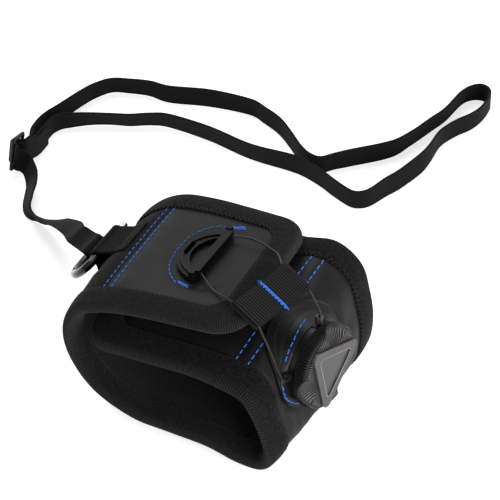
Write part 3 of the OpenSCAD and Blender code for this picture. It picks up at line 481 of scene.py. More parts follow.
# Each row gives (x, z) of the outer face at the front edge, then at the back edge, from the flap's tip
wrap_rows = np.array([
    ((0.0355, 0.0725), (0.0285, 0.066)), ((0.020, 0.0704), (0.016, 0.0658)),
    ((0.003, 0.0686), (0, 0.0654)), ((-0.015, 0.0662), (-0.015, 0.0646)),
    ((-0.030, 0.0623), (-0.030, 0.0618)), ((-0.0405, 0.056), (-0.0416, 0.0542)),
    ((-0.0452, 0.043), (-0.0488, 0.0435)), ((-0.0426, 0.029), (-0.0463, 0.029)),
    ((-0.032, 0.015), (-0.0355, 0.0145)), ((-0.0145, 0.0068), (-0.018, 0.0026)),
    ((0.003, 0.0056), (0.003, -0.0006)), ((0.020, 0.0048), (0.023, -0.0012)),
    ((0.034, 0.0016), (0.040, -0.0006)), ((0.045, 0.002), (0.0498, 0.005)),
    ((0.0505, 0.0095), (0.056, 0.0155)), ((0.049, 0.0195), (0.0576, 0.029)),
    ((0.044, 0.0308), (0.0556, 0.0425)), ((0.0375, 0.039), (0.0514, 0.0548)),
    ((0.0265, 0.0426), (0.0402, 0.062)), ((0.012, 0.0444), (0.025, 0.0592)),
    ((-0.006, 0.0436), (0.005, 0.0582)), ((-0.024, 0.0428), (-0.015, 0.0568)),
    ((-0.037, 0.042), (-0.034, 0.053)),
])
last_row = len(wrap_rows) - 1
row_step = 0.05
reel_pos = np.array([0.0516, -0.006, 0.037])
reel_az = -10.0
reel_el = 3.0
reel_axis = turned([0, 90 - reel_el, reel_az], [0, 0, 1])
push_depth = 0.0036
push_reach = (0.014, 0.024)
seat_depth = 0.0011
seat_flat_r = 0.021
seat_fade_r = 0.034
tape_step_in = 0.003
tape_step_w = 0.002
out_probe = 0.001


def edge_xz(side, s):
    i = np.clip(np.floor(s).astype(int), 0, last_row - 1)
    near = (wrap_rows[np.clip(i + k, 0, last_row), side] for k in (-1, 0, 1, 2))
    return spline(*near, (s - i)[..., None])


def skin_xz(s, y):
    share = ((y + half_len) / (2 * half_len))[..., None]
    return edge_xz(0, s) * (1 - share) + edge_xz(1, s) * share


row_marks = np.linspace(0, last_row, int(last_row / row_step) + 1)
row_run = distance_along(skin_xz(row_marks, 0 * row_marks))


def run_at(row):
    return float(np.interp(row, row_marks, row_run))


u_fold = run_at(4)
u_seam = run_at(18)
u_end = run_at(last_row)
u_push = run_at(17)


def wall_pt(u, y, depth):
    """A point of the wall: u along the wrap, y along the cuff, depth inwards from the outer face."""
    u, y, depth = np.broadcast_arrays(u, y, depth)
    s = np.interp(u, row_run, row_marks)
    tangent = skin_xz(np.minimum(s + row_step, last_row), y) - skin_xz(np.maximum(s - row_step, 0), y)
    normal = unit(np.stack([tangent[..., 1], -tangent[..., 0]], -1))
    push = push_depth * np.exp(-((u - u_push) / push_reach[0]) ** 2 - ((y - reel_pos[1]) / push_reach[1]) ** 2)
    skin = skin_xz(s, y) + normal * (bulge * (1 - (y / half_len) ** 2) + push)[..., None]
    point = np.stack([skin[..., 0], y, skin[..., 1]], -1)
    past = point - reel_pos
    over = np.maximum(past @ reel_axis + seat_depth, 0)
    radius = np.linalg.norm(past - (past @ reel_axis)[..., None] * reel_axis, axis=-1)
    k = np.clip((seat_fade_r - radius) / (seat_fade_r - seat_flat_r), 0, 1)
    point = point - (over * k * k * (3 - 2 * k))[..., None] * reel_axis
    point = point - depth[..., None] * np.stack([normal[..., 0], 0 * y, normal[..., 1]], -1)
    near_tape = np.clip((np.abs(y) - (half_len - binding_w - tape_step_in)) / tape_step_w, 0, 1)
    point[..., 2] = np.maximum(point[..., 2], np.maximum(depth + binding_lift * near_tape, 0))
    return point


def wall_out(u, y):
    """The wall's outward direction."""
    return unit(wall_pt(u, y, -out_probe) - wall_pt(u, y, out_probe))


# Lines of blue stitching on the outer face, as (u, y) along each line
stitch_reach = half_len - binding_w + 0.0003
seam_ys = np.linspace(-stitch_reach, stitch_reach, 60)
fold_row_body, fold_row_flap, seam_row_tongue, seam_row_body = (
    np.stack([u + slant * seam_ys, seam_ys], -1) for u, slant in (
        (u_fold + 0.0026, 0.02), (u_fold - 0.0012, 0.02), (u_seam + 0.0022, 0.062), (u_seam - 0.0031, 0.066)))
catch_row = through([
    (0.0325, 0.0238), (0.0385, 0.0208), (0.0418, 0.0172), (0.0445, 0.0118), (0.0454, 0.0066), (0.0455, 0.0020),
    (0.0453, -0.0020), (0.0444, -0.0075), (0.0430, -0.0115), (0.0406, -0.0155), (0.0360, -0.0200)], 8)
sewn_lines = [fold_row_body, fold_row_flap, seam_row_tongue, seam_row_body, catch_row]
groove_depth = 0.0004
groove_w = 0.0010
puff = 0.0009
puff_reach = 0.0045
catch_place = (0.0285, 0.0016)
catch_bare = (0.0165, 0.0235)
flange_place = (run_at(16.15), reel_pos[1])
flange_bare_r = 0.0225


def sewn_distance(u, y):
    """How far each point of the face is from the nearest line of stitching or bound edge."""
    near = half_len - binding_w - np.abs(y)
    near = np.minimum(near, np.where(u < u_fold, u - binding_w, 1))
    near = np.minimum(near, np.where(u > u_seam, u_end - binding_w - u, 1))
    near = np.maximum(near, 0)
    for line in sewn_lines:
        near = np.minimum(near, np.min(np.hypot(u[..., None] - line[:, 0], y[..., None] - line[:, 1]), -1))
    under_catch = np.hypot((u - catch_place[0]) / catch_bare[0], (y - catch_place[1]) / catch_bare[1]) < 1
    under_reel = np.hypot(u - flange_place[0], y - flange_place[1]) < flange_bare_r
    return np.where(under_catch | under_reel, 0, near)


# Shallow folds of the face: wave length, direction in degrees, phase, share of the depth
face_folds = ((0.021, 62, 0.4, 0.30), (0.015, -28, 1.9, 0.24), (0.0115, 18, 3.1, 0.20), (0.0093, -71, 5.2, 0.16),
              (0.0078, 84, 2.3, 0.10))
fold_depth = 0.00040
fold_wander = 1.5
fold_wander_len = 0.013


def face_height(u, y):
    """How far the padded face stands out from the wall's plain surface."""
    d = sewn_distance(u, y)
    raised = 1 - np.exp(-(d / puff_reach) ** 2)
    waves = 0
    for length, way, phase, share in face_folds:
        along = u * math.cos(math.radians(way)) + y * math.sin(math.radians(way))
        waves += share * np.sin(math.tau * along / length + phase + fold_wander * np.sin(along / fold_wander_len))
    return (puff - fold_depth + fold_depth * waves) * raised - groove_depth * np.exp(-(d / groove_w) ** 2)


def face_pt(u, y, lift=0.0):
    """A point on the padded outer face."""
    u, y = np.broadcast_arrays(u, y)
    return wall_pt(u, y, -(face_height(u, y) + lift))


wall_columns = np.linspace(-1, 1, 51)
wall_spacing = 0.0016
wall_corner_steps = 12


def side_edge(u0, u1, r, half, spacing, corner_steps):
    """The back edge of a panel from u0 to u1, and round its corner there: (u, y, inward u, inward y)."""
    way = 1 if u1 > u0 else -1
    u2 = u1 - way * r
    us = np.linspace(u0, u2, int(abs(u2 - u0) / spacing) + 2)
    straight = np.stack([us, 0 * us + half, 0 * us, 0 * us - 1], -1)
    turn = np.radians(np.linspace(0, 90, corner_steps if r else 1))[1:]
    u_in, y_in = -way * np.sin(turn), -np.cos(turn)
    return np.vstack([straight, np.stack([u2 - r * u_in, half - r - r * y_in, u_in, y_in], -1)])


def panel_rows(u0, u1, corner_r):
    """Rows (u, half width) of a panel that is square at u0. Its end at u1 is sewn, or bound and round."""
    if corner_r:
        u1, corner_r = u1 + (edge_inset if u1 < u0 else -edge_inset), corner_r - edge_inset
    return side_edge(u0, u1, corner_r, ply_half, wall_spacing, wall_corner_steps)[:, :2]


panels = {
    "body": panel_rows(u_fold, u_seam, 0),
    "tongue": panel_rows(u_seam, u_end, tongue_corner_r),
    "flap": panel_rows(u_fold, 0, flap_corner_r)[::-1],
}


def slab_faces(rows, columns):
    """Faces of a closed sheet between two grids of points."""
    grid = np.arange(rows * columns).reshape(rows, columns)
    wall = quads(grid, closed=False)
    rim = np.concatenate([grid[0], grid[1:-1, -1], grid[-1, ::-1], grid[-2:0:-1, 0]])
    return np.vstack([wall[:, [0, 3, 2, 1]], wall + grid.size, quads(np.stack([rim, rim + grid.size]))]).tolist()


def sheet(outer, inner, place):
    """A closed sheet between two grids that share their weave: its points, faces and weave."""
    points = np.vstack([outer.reshape(-1, 3), inner.reshape(-1, 3)])
    return points, slab_faces(*outer.shape[:2]), np.vstack([place, place])


def ply_shape(rows, depth, thickness):
    """A ply of a panel; its outer face is padded where depth is None."""
    u = np.repeat(rows[:, :1], len(wall_columns), 1)
    y = rows[:, 1:] * wall_columns[None]
    outer = face_pt(u, y) if depth is None else wall_pt(u, y, depth)
    return sheet(outer, wall_pt(u, y, (depth or 0) + thickness), np.stack([u, y, 0 * u], -1).reshape(-1, 3))


fold_reach = 0.011
fold_start = tuple(wall_pt(u_fold, 0, 0))
fold_end = tuple(wall_pt(u_fold - fold_reach, 0, 0))


def join_to_cuff(piece, on_flap):
    """Flap pieces, sewn to the body at the fold, have their place baked into their mesh; the others ride on the
    cuff.
    """
    if on_flap:
        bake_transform(piece)
    else:
        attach(piece, "cuff")


def coated_grain(tree, grain_scale):
    """Pebble of the coating, and slow patches painted lighter and darker as the light and shade of the pad's rise
    and fall, which also change its gloss.
    """
    cells = tree.nodes.new("ShaderNodeTexVoronoi")
    cells.feature = "SMOOTH_F1"
    tree.links.new(own_space(tree), cells.inputs["Vector"])
    feed(tree, grain_scale, cells.inputs["Scale"])
    slow = speckle(tree, 90.0, 3.0)
    return {"Height": Field(tree, cells.outputs["Distance"]) + speckle(tree, 2600.0, 3.0) * 0.6,
            "Shade": slow * 0.8 + 0.1, "Gloss": slow * 0.22 + 0.38}


coated_panel = patterned(
    "coated_panel", new_group(coated_grain, "grain_scale"), (0.0056, 0.0051, 0.0053), (0.0135, 0.0125, 0.0129),
    0.00008, 0.5, roughness=0.5, specular=0.12, grain_scale=1500.0)

wall_foam = Finish("wall_foam", 0.95, 0.2)
wall_foam.tones(speckle(wall_foam.tree, 1400.0), (0.20, 0.20, 0.21), (0.38, 0.38, 0.39))
wall_foam.relief(speckle(wall_foam.tree, 1800.0), 0.0002, 0.7)

brushed_lining = Finish("brushed_lining", 0.95, 0.1, sheen=0.06)
brushed_lining.tones(speckle(brushed_lining.tree, 700.0, 4.0), 0.004, (0.016, 0.0155, 0.0155))
brushed_lining.relief(speckle(brushed_lining.tree, 1500.0, 3.0), 0.00025, 0.8)


def knit_ribs(tree, rib_pitch):
    """Knit ribs that cross the tape, strongest where it is stretched round the edge."""
    along, _, nose = cloth_place(tree)
    turn = along / rib_pitch * math.tau + speckle(tree, 260.0) * 1.6
    rib = (turn.sine() * 0.5 + 0.5) * (nose * 0.95 + 0.05)
    loops = (speckle(tree, 800.0, 5.0) * 2.2 - 0.65) * (nose * -0.7 + 1.0)
    height = loops * 0.6 + rib
    # The colour follows the relief: raised ribs and loops are painted lighter as painted highlight, the hollows
    # darker as painted shade.
    return {"Height": height, "Shade": height * 0.9 - 0.08}


knit_tape = patterned(
    "knit_tape", new_group(knit_ribs, "rib_pitch"), 0.0004, (0.0250, 0.0226, 0.0226),
    0.0003, 1.0, roughness=0.9, sheen=0.05, rib_pitch=0.0010)

# The body's side next to the fold is faced with the same knit
u_knit = u_fold + 0.046


def cover_side(panel):
    """Knit on the faces between the fold and the knit's far edge."""
    panel.data.materials.append(knit_tape)
    place = np.empty(3 * len(panel.data.vertices), np.float32)
    panel.data.attributes["weave"].data.foreach_get("vector", place)
    u = place.reshape(-1, 3)[:, 0]
    for polygon in panel.data.polygons:
        if np.mean(u[list(polygon.vertices)]) < u_knit:
            polygon.material_index = 1


plies = (
    ("face", None, panel_t, coated_panel, "panel", "coated_panel"),
    ("pad", panel_t + ply_gap, foam_t, wall_foam.material, "foam", "foam"),
    ("inside", panel_t + foam_t + 2 * ply_gap, lining_t, brushed_lining.material, "lining", "lining"),
)
padded_fill = {"panel": 0.6, "foam": 0.5}
for part, rows in panels.items():
    for ending, depth, thickness, material, node, slot in plies:
        ply = make_piece(f"{part}_{ending}", *ply_shape(rows, depth, thickness), material, f"{part}_{node}", slot)
        if (part, node) == ("body", "panel"):
            cover_side(ply)
        join_to_cuff(ply, part == "flap")
        node in padded_fill

# ---- Edge binding ----
# Ribbed knit tape, folded over the cut edge of all three plies and sewn down near its inner edges
# with a black zigzag. It goes round each panel end in one piece.
tape_nose_r = 0.0022
tape_crown = 0.00035
tape_dip = 0.0004
inner_corner_r = 0.009


def tape_section(offset):
    """Places (in from the edge, depth) from the outer face's inner edge round the nose to the lining."""
    middle = wall_t / 2
    half = wall_t / 2 + binding_lift - offset
    flat = np.linspace(binding_w, tape_nose_r, 12)
    share = (binding_w - flat) / (binding_w - tape_nose_r)
    crown = tape_crown * np.sin(math.pi * share ** 0.8) - tape_dip * np.exp(-(share / 0.06) ** 2)
    nose = np.radians(np.linspace(-90, 90, 13))[1:-1]
    rows = [(d, middle - half - c) for d, c in zip(flat, crown)]
    rows += [(offset + (tape_nose_r - offset) * (1 - math.cos(a)), middle + half * math.sin(a)) for a in nose]
    rows += [(d, middle + half + c) for d, c in zip(flat[::-1], crown[::-1])]
    return np.array(rows)


tape_walls = (tape_section(0.0), tape_section(binding_t))
tape_run = distance_along(tape_walls[0])
nose_stretch = 0.0042
tape_nose_mask = np.exp(-((tape_run - tape_run[-1] / 2) / nose_stretch) ** 2)
tape_spacing = 0.0012
tape_corner_steps = 18


def rounded_edge(u0, u1, r):
    """The edge of a panel end, from u0 at the front round the tip to u0 at the back."""
    back = side_edge(u0, u1, r, half_len, tape_spacing, tape_corner_steps)
    tip = np.linspace(-(half_len - r), half_len - r, int(2 * (half_len - r) / tape_spacing))[1:-1]
    tip = np.stack([0 * tip + u1, tip, 0 * tip + (1 if u1 < u0 else -1), 0 * tip], -1)
    return np.vstack([back * (1, -1, 1, -1), tip, back[::-1]])


corner_tries = 30


def tape_width(path):
    """The tape's width at each row of a path. It spreads at a corner, where its inner edge is rounder."""
    tips = [u for u, _, _, y_in in path if y_in == 0]
    spread = []
    for u, y, u_in, y_in in path:
        width = binding_w
        for _ in range(corner_tries if tips else 0):
            from_tip = abs(u + width * u_in - tips[0]) - binding_w
            from_side = half_len - abs(y + width * y_in) - binding_w
            short = np.maximum(inner_corner_r - np.array([from_tip, from_side]), 0)
            width += max(math.hypot(*short) - inner_corner_r, 0)
        spread.append(width)
    return np.array(spread)


def tape_shape(path):
    """A folded tape along (u, y, inward u, inward y)."""
    stretch = (tape_width(path) - tape_nose_r) / (binding_w - tape_nose_r)
    walls = []
    for section in tape_walls:
        past_nose = np.maximum(section[:, 0] - tape_nose_r, 0)
        inset = section[:, 0] + past_nose * (stretch[:, None] - 1)
        walls.append(wall_pt(*(path[:, None, k] + inset * path[:, None, k + 2] for k in (0, 1)), section[:, 1]))
    run = distance_along(wall_pt(path[:, 0], path[:, 1], wall_t / 2))
    return sheet(*walls, as_weave(run, tape_run, tape_nose_mask))


def joined(parts):
    """Several (points, faces, weave) as one."""
    faces, start = [], 0
    for points, part_faces, _ in parts:
        faces += [[k + start for k in face] for face in part_faces]
        start += len(points)
    return np.vstack([part[0] for part in parts]), faces, np.vstack([part[2] for part in parts])


body_edge = side_edge(u_fold, u_seam, 0, half_len, tape_spacing, tape_corner_steps)
edge_paths = {
    "body": [(body_edge * (1, -1, 1, -1))[::-1], body_edge],
    "tongue": [rounded_edge(u_seam, u_end, tongue_corner_r)[::-1]],
    "flap": [rounded_edge(u_fold, 0, flap_corner_r)],
}
for part, paths in edge_paths.items():
    binding = make_piece(f"{part}_tape", *joined([tape_shape(path) for path in paths]),
                         knit_tape, f"{part}_binding", "binding")
    join_to_cuff(binding, part == "flap")

# ---- Stitching ----
# Royal blue thread in double rows at the fold and the seam, round the catch and round the reel's
# base, with bar tacks at both ends of the catch. The binding's zigzag is black.
stitch_steps = np.array([-1.0, -0.86, -0.5, 0.0, 0.5, 0.86, 1.0])
stitch_proud = 0.75
stitch_dip = 1.9
stitch_taper = 0.25
thread_sides = 6


def round_tube(path, across, up, radius, run, sides):
    """A round tube along a path: its points, faces and weave. radius is one value or one for each ring."""
    turn = np.arange(sides) * math.tau / sides
    ring = np.cos(turn)[:, None] * across + np.sin(turn)[:, None] * up
    points = path[:, None] + np.reshape(radius, (-1, 1, 1)) * ring
    return points.reshape(-1, 3), tube_faces(len(path), sides), as_weave(run, turn)


def one_stitch(start, end, up, radius):
    """A short thread between two holes: it stands proud in the middle and dips in at its ends."""
    along = unit(end - start)
    side = unit(np.cross(along, up))
    proud = unit(np.cross(side, along))
    path = (start + end) / 2 + stitch_steps[:, None] * (end - start) / 2
    path = path + proud * (radius * (stitch_proud - stitch_dip * np.abs(stitch_steps) ** 5))[:, None]
    size = radius * (1 - stitch_taper * stitch_steps ** 4)
    return round_tube(path, side, proud, size, (stitch_steps + 1) / 2 * np.linalg.norm(end - start), thread_sides)


def stitch_ends(run, pitch):
    """Where each running stitch of a row starts and ends, by the distance along it."""
    count = int(run[-1] / pitch)
    return (np.arange(count)[:, None] + 0.5 + np.array([-0.5, 0.5]) * stitch_share) * run[-1] / count


def stitch_line(line, pitch):
    """Running stitches along (u, y) on the outer face."""
    run = distance_along(face_pt(*line.T))
    rows = (at_run(line, run, ends).T for ends in stitch_ends(run, pitch))
    return [one_stitch(*face_pt(u, y), wall_out(u.mean(), y.mean()), thread_r) for u, y in rows]


def bar_tack(start, end, count):
    """A close zigzag across a short line on the face, from (u, y) to (u, y)."""
    start, end = np.array(start), np.array(end)
    way = unit(end - start)
    side = np.array([-way[1], way[0]]) * tack_w / 2
    half = side + way * tack_slant
    middles = [start + (end - start) * (k + 0.5) / count for k in range(count)]
    return [one_stitch(face_pt(*(m - half), tack_lift), face_pt(*(m + half), tack_lift), wall_out(*m), tack_thread_r)
            for m in middles]


def thread_twist(tree):
    """Two plies twisted together, as slanted bands along the thread."""
    along, turn, _ = cloth_place(tree)
    height = (along * (math.tau / 0.0009) + turn).sine() * 0.5 + 0.5
    # Half the colour follows the twist's relief, painted shade in the grooves between plies; the other half is
    # random tone.
    return {"Height": height, "Shade": speckle(tree, 700.0) * 0.5 + height * 0.5}


twist_group = new_group(thread_twist)


def thread_material(name, dark, light):
    return patterned(name, twist_group, dark, light, 0.00006, 0.8, roughness=0.6, specular=0.2, sheen=0.05)


blue_thread = thread_material("blue_thread", (0.010, 0.075, 0.36), (0.045, 0.24, 0.80))
black_thread = thread_material("black_thread", 0.0006, (0.0024, 0.0023, 0.0023))
thread_r = 0.0003
stitch_pitch = 0.0032
catch_pitch = 0.0029
stitch_share = 0.8
tack_w = 0.0014
tack_slant = 0.0006
tack_lift = 0.0002
tack_thread_r = 0.00028

blue_on_cuff = sum((stitch_line(line, stitch_pitch) for line in (fold_row_body, seam_row_tongue, seam_row_body)), [])
round_catch = stitch_line(catch_row, catch_pitch)
round_catch += bar_tack((0.0355, -0.0190), (0.0305, -0.0205), 13)
round_catch += bar_tack((0.0325, 0.0235), (0.0255, 0.0250), 15)

zigzag_pitch = 0.0011
zigzag_in = 0.0015
zigzag_out = 0.0004
zigzag_lift = 0.0002
zigzag_wall_lift = 0.0001
zigzag_thread_r = 0.0002


def zigzag(path, inside):
    """Black stitches that cross the tape's inner edge, on the outer face or on the lining."""
    width = tape_width(path)
    edge = path[:, :2] + width[:, None] * path[:, 2:]
    run = distance_along(wall_pt(edge[:, 0], edge[:, 1], 0))
    at = np.arange(0.5, int(run[-1] / zigzag_pitch)) * zigzag_pitch
    row = at_run(path, run, at)
    on_tape = np.arange(len(at)) % 2 == 1
    inset = np.interp(at, run, width) + np.where(on_tape, -zigzag_in, zigzag_out)
    u, y = (row[:, k] + inset * row[:, k + 2] for k in (0, 1))
    lift = np.where(on_tape, binding_lift + zigzag_lift, 0 if inside else zigzag_wall_lift)
    points = wall_pt(u, y, wall_t + lift if inside else -lift)
    out = wall_out(u, y) * (-1 if inside else 1)
    return [one_stitch(a, b, n, zigzag_thread_r) for a, b, n in zip(points[:-1], points[1:], out[:-1])]


black_rows = {
    part: sum((zigzag(path, inside) for path in paths for inside in (False, True)), [])
    for part, paths in edge_paths.items()
}
for name, parts, material, on_flap in (
    ("cuff_stitches", blue_on_cuff, blue_thread, False),
    ("catch_stitches", round_catch, blue_thread, True),
    ("fold_stitches", stitch_line(fold_row_flap, stitch_pitch), blue_thread, True),
    *((f"{part}_tape_stitches", rows, black_thread, part == "flap") for part, rows in black_rows.items()),
):
    join_to_cuff(make_piece(name, *joined(parts), material), on_flap)

# ---- D-ring and its tab ----
# A welded steel D, plated black nickel, turns in a folded tab of 20 mm webbing. The tab's ends are
# sewn flat to the wall below the fold.
tab_w = 0.020
tab_t = 0.0012
tab_gap = 0.00015
tab_wrap_r = ring_wire_r + tab_gap + tab_t / 2
tab_spacing = 0.0008
tab_lift = ply_gap + tab_t / 2


def tab_line(y):
    above = [wall_pt(run_at(row), y, -tab_lift) for row in (4.42, 4.56, 4.7, 4.85)]
    below = [wall_pt(run_at(row), y, -tab_lift) for row in (5.95, 6.15, 6.35)]
    bend = [ring_pos * (1, 0, 1) + (tab_wrap_r * math.cos(a), y, tab_wrap_r * math.sin(a))
            for a in np.radians(np.arange(70, 251, 30))]
    return evenly(through(above + bend + below, 6), tab_spacing)


tab_edges = [tab_line(ring_pos[1] + side * tab_w / 2) for side in (-1, 1)]
tab_front, tab_back = (edge[:min(map(len, tab_edges))] for edge in tab_edges)
tab_section = strap_section * (tab_w / strap_w, tab_t / strap_t)
tab_webbing = webbing_material("tab_webbing", 0.0010, 0.0013, 0.0003, (0.0012, 0.0011, 0.0011))
make_piece("folded_tab", *swept((tab_front + tab_back) / 2, tab_back - tab_front, tab_section),
           tab_webbing, "ring_tab", "webbing", "cuff")

# The ring's far end is painted near white as a painted highlight, and elsewhere a painted sheen lightens the plating
# towards its outlines
black_nickel = Finish("black_nickel", 0.16, 0.5, 1.0)
ring_split = black_nickel.tree.nodes.new("ShaderNodeSeparateXYZ")
black_nickel.tree.links.new(own_space(black_nickel.tree), ring_split.inputs[0])
rim_light = black_nickel.tree.nodes.new("ShaderNodeLayerWeight")
rim_light.inputs["Blend"].default_value = 0.35
# Painted highlight: past this height along the ring, the plating's colour is painted near white.
end_highlight_y = 0.0178
painted_end_highlight = ((Field(black_nickel.tree, ring_split.outputs["Y"]) - end_highlight_y) * 1500.0).between(0.0, 0.8)
# Painted sheen: lighter where the surface turns away from the camera, with a little random mottle.
painted_sheen_and_mottle = Field(black_nickel.tree, rim_light.outputs["Facing"]) ** 2.2 * 0.30
painted_sheen_and_mottle = painted_sheen_and_mottle + speckle(black_nickel.tree, 220.0, 3.0) * 0.03
black_nickel.tones(painted_sheen_and_mottle + painted_end_highlight, (0.004, 0.004, 0.0045), (0.98, 0.95, 0.93))
black_nickel.set("Roughness", speckle(black_nickel.tree, 500.0, 4.0) * 0.12 + 0.05)


def dress(node_name, material):
    """Gives a CAD node its finish."""
    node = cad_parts[node_name]
    if not node.material_slots:
        node.data.materials.append(material)
    for slot in node.material_slots:
        slot.material = material


dress("d_ring", black_nickel.material)

# ---- Catch ----
# One moulding of dark nylon with a hook rail, a raised rim and a window. It is sewn to the flap
# through its edge.


def mould_grain(tree, base_roughness):
    """Fine spark of a moulded face, with patches rubbed lighter and smoother."""
    rubbed = speckle(tree, 160.0, 4.0)
    return {"Height": speckle(tree, 2200.0), "Shade": rubbed, "Gloss": rubbed * 0.25 - 0.12 + base_roughness}


plastic_group = new_group(mould_grain, "base_roughness")


def moulded_material(name, dark, light, roughness, specular=0.2):
    return patterned(name, plastic_group, dark, light, 0.00004, 0.6, roughness, specular, base_roughness=roughness)


dress("catch_plate", moulded_material(
    "catch_nylon", (0.0014, 0.0013, 0.0013), (0.0034, 0.0032, 0.0032), 0.42, 0.11))

# ---- Lace and its spreader ----
# A braided polyester lace loops over the catch and through a folded piece of ribbed webbing that
# keeps its two runs apart. A blue bar tack closes the webbing between them.
lace_r = 0.0006
lace_drawn_r = 0.00042
spreader_pos = np.array([0.0375, -0.0157, 0.0728])
spreader_rot = [-3.5, 23.1, -13]
spreader_len = 0.036
spreader_w = 0.014
spreader_half_w = spreader_w / 2
spreader_t = 0.001
channel_gap = 0.00008
channel_r = lace_r + channel_gap
channel_y = spreader_len / 2 - spreader_t - channel_r
rib_pitch = 0.00135
rib_h = 0.00022


def spreader_pt(p):
    return spreader_pos + turned(spreader_rot, p)


def flat_ring(length, r, ribs):
    """A long loop round both channels, in the plane across the runs, with ribs standing on it."""
    straight = length / 2 - r
    ys = np.linspace(straight, -straight, int(2 * straight / (rib_pitch / 6)))
    turn = np.radians(np.linspace(0, 180, 13))[1:-1]
    proud = ribs * rib_h * np.abs(np.sin(math.pi * ys / rib_pitch))
    top = np.stack([ys, r + proud], -1)
    front = np.stack([-straight - r * np.sin(turn), r * np.cos(turn)], -1)
    return np.vstack([top, front, -top, -front])


ring_outer = flat_ring(spreader_len, channel_r + spreader_t, 1)
ring_inner = flat_ring(spreader_len - 2 * spreader_t, channel_r, 0)
closed_inner = np.vstack([ring_inner, ring_inner[:1]])
inner_run = distance_along(closed_inner)
ring_inner = at_run(closed_inner, inner_run, np.linspace(0, inner_run[-1], len(ring_outer) + 1)[:-1])
web_rows = np.linspace(-spreader_half_w, spreader_half_w, 15)
web_hem = 0.0001 * np.array([-2, 0] + [0.6] * (len(web_rows) - 4) + [0, -2])


def sleeve_wall(loop, hem):
    """One wall of the sleeve: its loop at each row, grown by the hem."""
    grown = unit(loop * (0.3, 1))
    return np.vstack([spreader_pt(np.column_stack([np.full(len(loop), x), loop + grown * h]))
                      for x, h in zip(web_rows, hem)])


def sleeve_faces(rings, sides):
    """A sleeve's outer and inner walls and its two open ends, joined point to point."""
    grid = np.arange(rings * sides).reshape(rings, sides)
    wall = quads(grid)
    end = quads(np.stack([grid[0], grid[0] + grid.size]))
    return np.vstack([wall[:, [0, 3, 2, 1]], wall + grid.size, end, end[:, ::-1] + grid[-1, 0]]).tolist()


web_points = np.vstack([sleeve_wall(ring_outer, web_hem), sleeve_wall(ring_inner, 0 * web_hem)])
web_crest = np.abs(np.sin(math.pi * ring_outer[:, 0] / rib_pitch))
web_place = as_weave(web_rows, distance_along(ring_outer), web_crest)
ribbed_webbing = Finish("ribbed_webbing", 0.7, 0.08)
picks = speckle(ribbed_webbing.tree, 1100.0) * 0.9 + 0.5
# Painted highlight and shade: the ribs' crests are painted light and the grooves between them dark, mottled at
# random.
crest = cloth_place(ribbed_webbing.tree)[2] ** 4.0
ribbed_webbing.tones(crest * picks, 0.0008, (0.030, 0.028, 0.028))
ribbed_webbing.relief(picks, 0.00012, 0.8)
make_piece("webbing_sleeve", web_points, sleeve_faces(len(web_rows), len(ring_outer)),
           np.vstack([web_place, web_place]), ribbed_webbing.material, "lace_spreader", "webbing", "flap")

spreader_tack_y = -0.0004
spreader_tack_rows = 17
spreader_tack_slant = 0.0007
spreader_tack_half_w = 0.00075
spreader_tack_lift = 0.0003
tack_core_r = 0.00034
tack_wrap_r = 0.00026
spreader_tack_top = channel_r + spreader_t + rib_h
spreader_up = turned(spreader_rot, [0, 0, 1])


def tack_stitch(start, end, radius):
    """A thread on the spreader between two points, by their place from the middle of its tack."""
    ends = [spreader_pt([x, spreader_tack_y + y, spreader_tack_top + z]) for x, y, z in (start, end)]
    return one_stitch(*ends, spreader_up, radius)


tack_parts = [tack_stitch((start * spreader_half_w, offset, 0), (end * spreader_half_w, offset, 0), tack_core_r)
              for offset, start, end in ((-0.0003, -1.06, 1.16), (0.0003, -1.14, 1.3))]
for k in range(spreader_tack_rows):
    x = spreader_w * ((k + 0.5) / spreader_tack_rows - 0.5)
    slant = spreader_tack_slant * (1 if k % 2 else -1)
    ends = ((x + way * slant, way * spreader_tack_half_w, spreader_tack_lift) for way in (-1, 1))
    tack_parts.append(tack_stitch(*ends, tack_wrap_r))
make_piece("spreader_tack", *joined(tack_parts), blue_thread, body="flap")


def cord_tube(path, radius, sides):
    """A lace, or a bead, along a path."""
    along = unit(np.gradient(path, axis=0))
    across = unit(np.cross(along, (0.0, 0.0, 1.0)))
    return round_tube(path, across[:, None], np.cross(across, along)[:, None], radius, distance_along(path), sides)


def lace_braid(tree):
    """Strands laid to the right over strands laid to the left."""
    along, turn, _ = cloth_place(tree)
    run = along * (math.tau / 0.0016)
    lays = (turn * 3.0 + run).sine().math("MAXIMUM", (turn * -3.0 + run).sine())
    height = lays * 0.5 + 0.5
    # The colour is the relief itself: painted shade in the grooves between strands, lighter on their tops.
    return {"Height": height, "Shade": height}


braided_lace = patterned("braided_lace", new_group(lace_braid), 0.0015, (0.0075, 0.0072, 0.0072),
                         0.00008, 0.8, roughness=0.4, specular=0.3)

catch_pos = np.array([0.003, 0.0006, 0.0681])
catch_tilt = [-2.2, -3.2, 0]
catch_len = 0.037
hook_gap = 0.0002
hook_end = 0.0041
hook_h = 0.0042
hook_lip_t = 0.001
hook_x = lace_r + hook_gap
hook_y = catch_len / 2 - hook_end
hook_z = hook_h - hook_lip_t - lace_r - hook_gap
hook_turn_r = 0.002
lace_spacing = 0.0006
lace_sides = 10


def hook_turn(side, angles):
    """The lace's bend under one end of the catch's lip."""
    return [catch_pos + turned(catch_tilt, [
        hook_x + hook_turn_r * (1 + math.cos(a)), side * (hook_y - hook_turn_r * (1 - math.sin(a))), hook_z])
        for a in np.radians(angles)]


def channel_run(side, shares):
    return [spreader_pt([share * spreader_half_w, side * channel_y, 0]) for share in shares]


def lace_piece(name, stops, steps, node, body=None):
    tube = cord_tube(evenly(through(stops, steps), lace_spacing), lace_drawn_r, lace_sides)
    return make_piece(name, *tube, braided_lace, node, "lace", body)


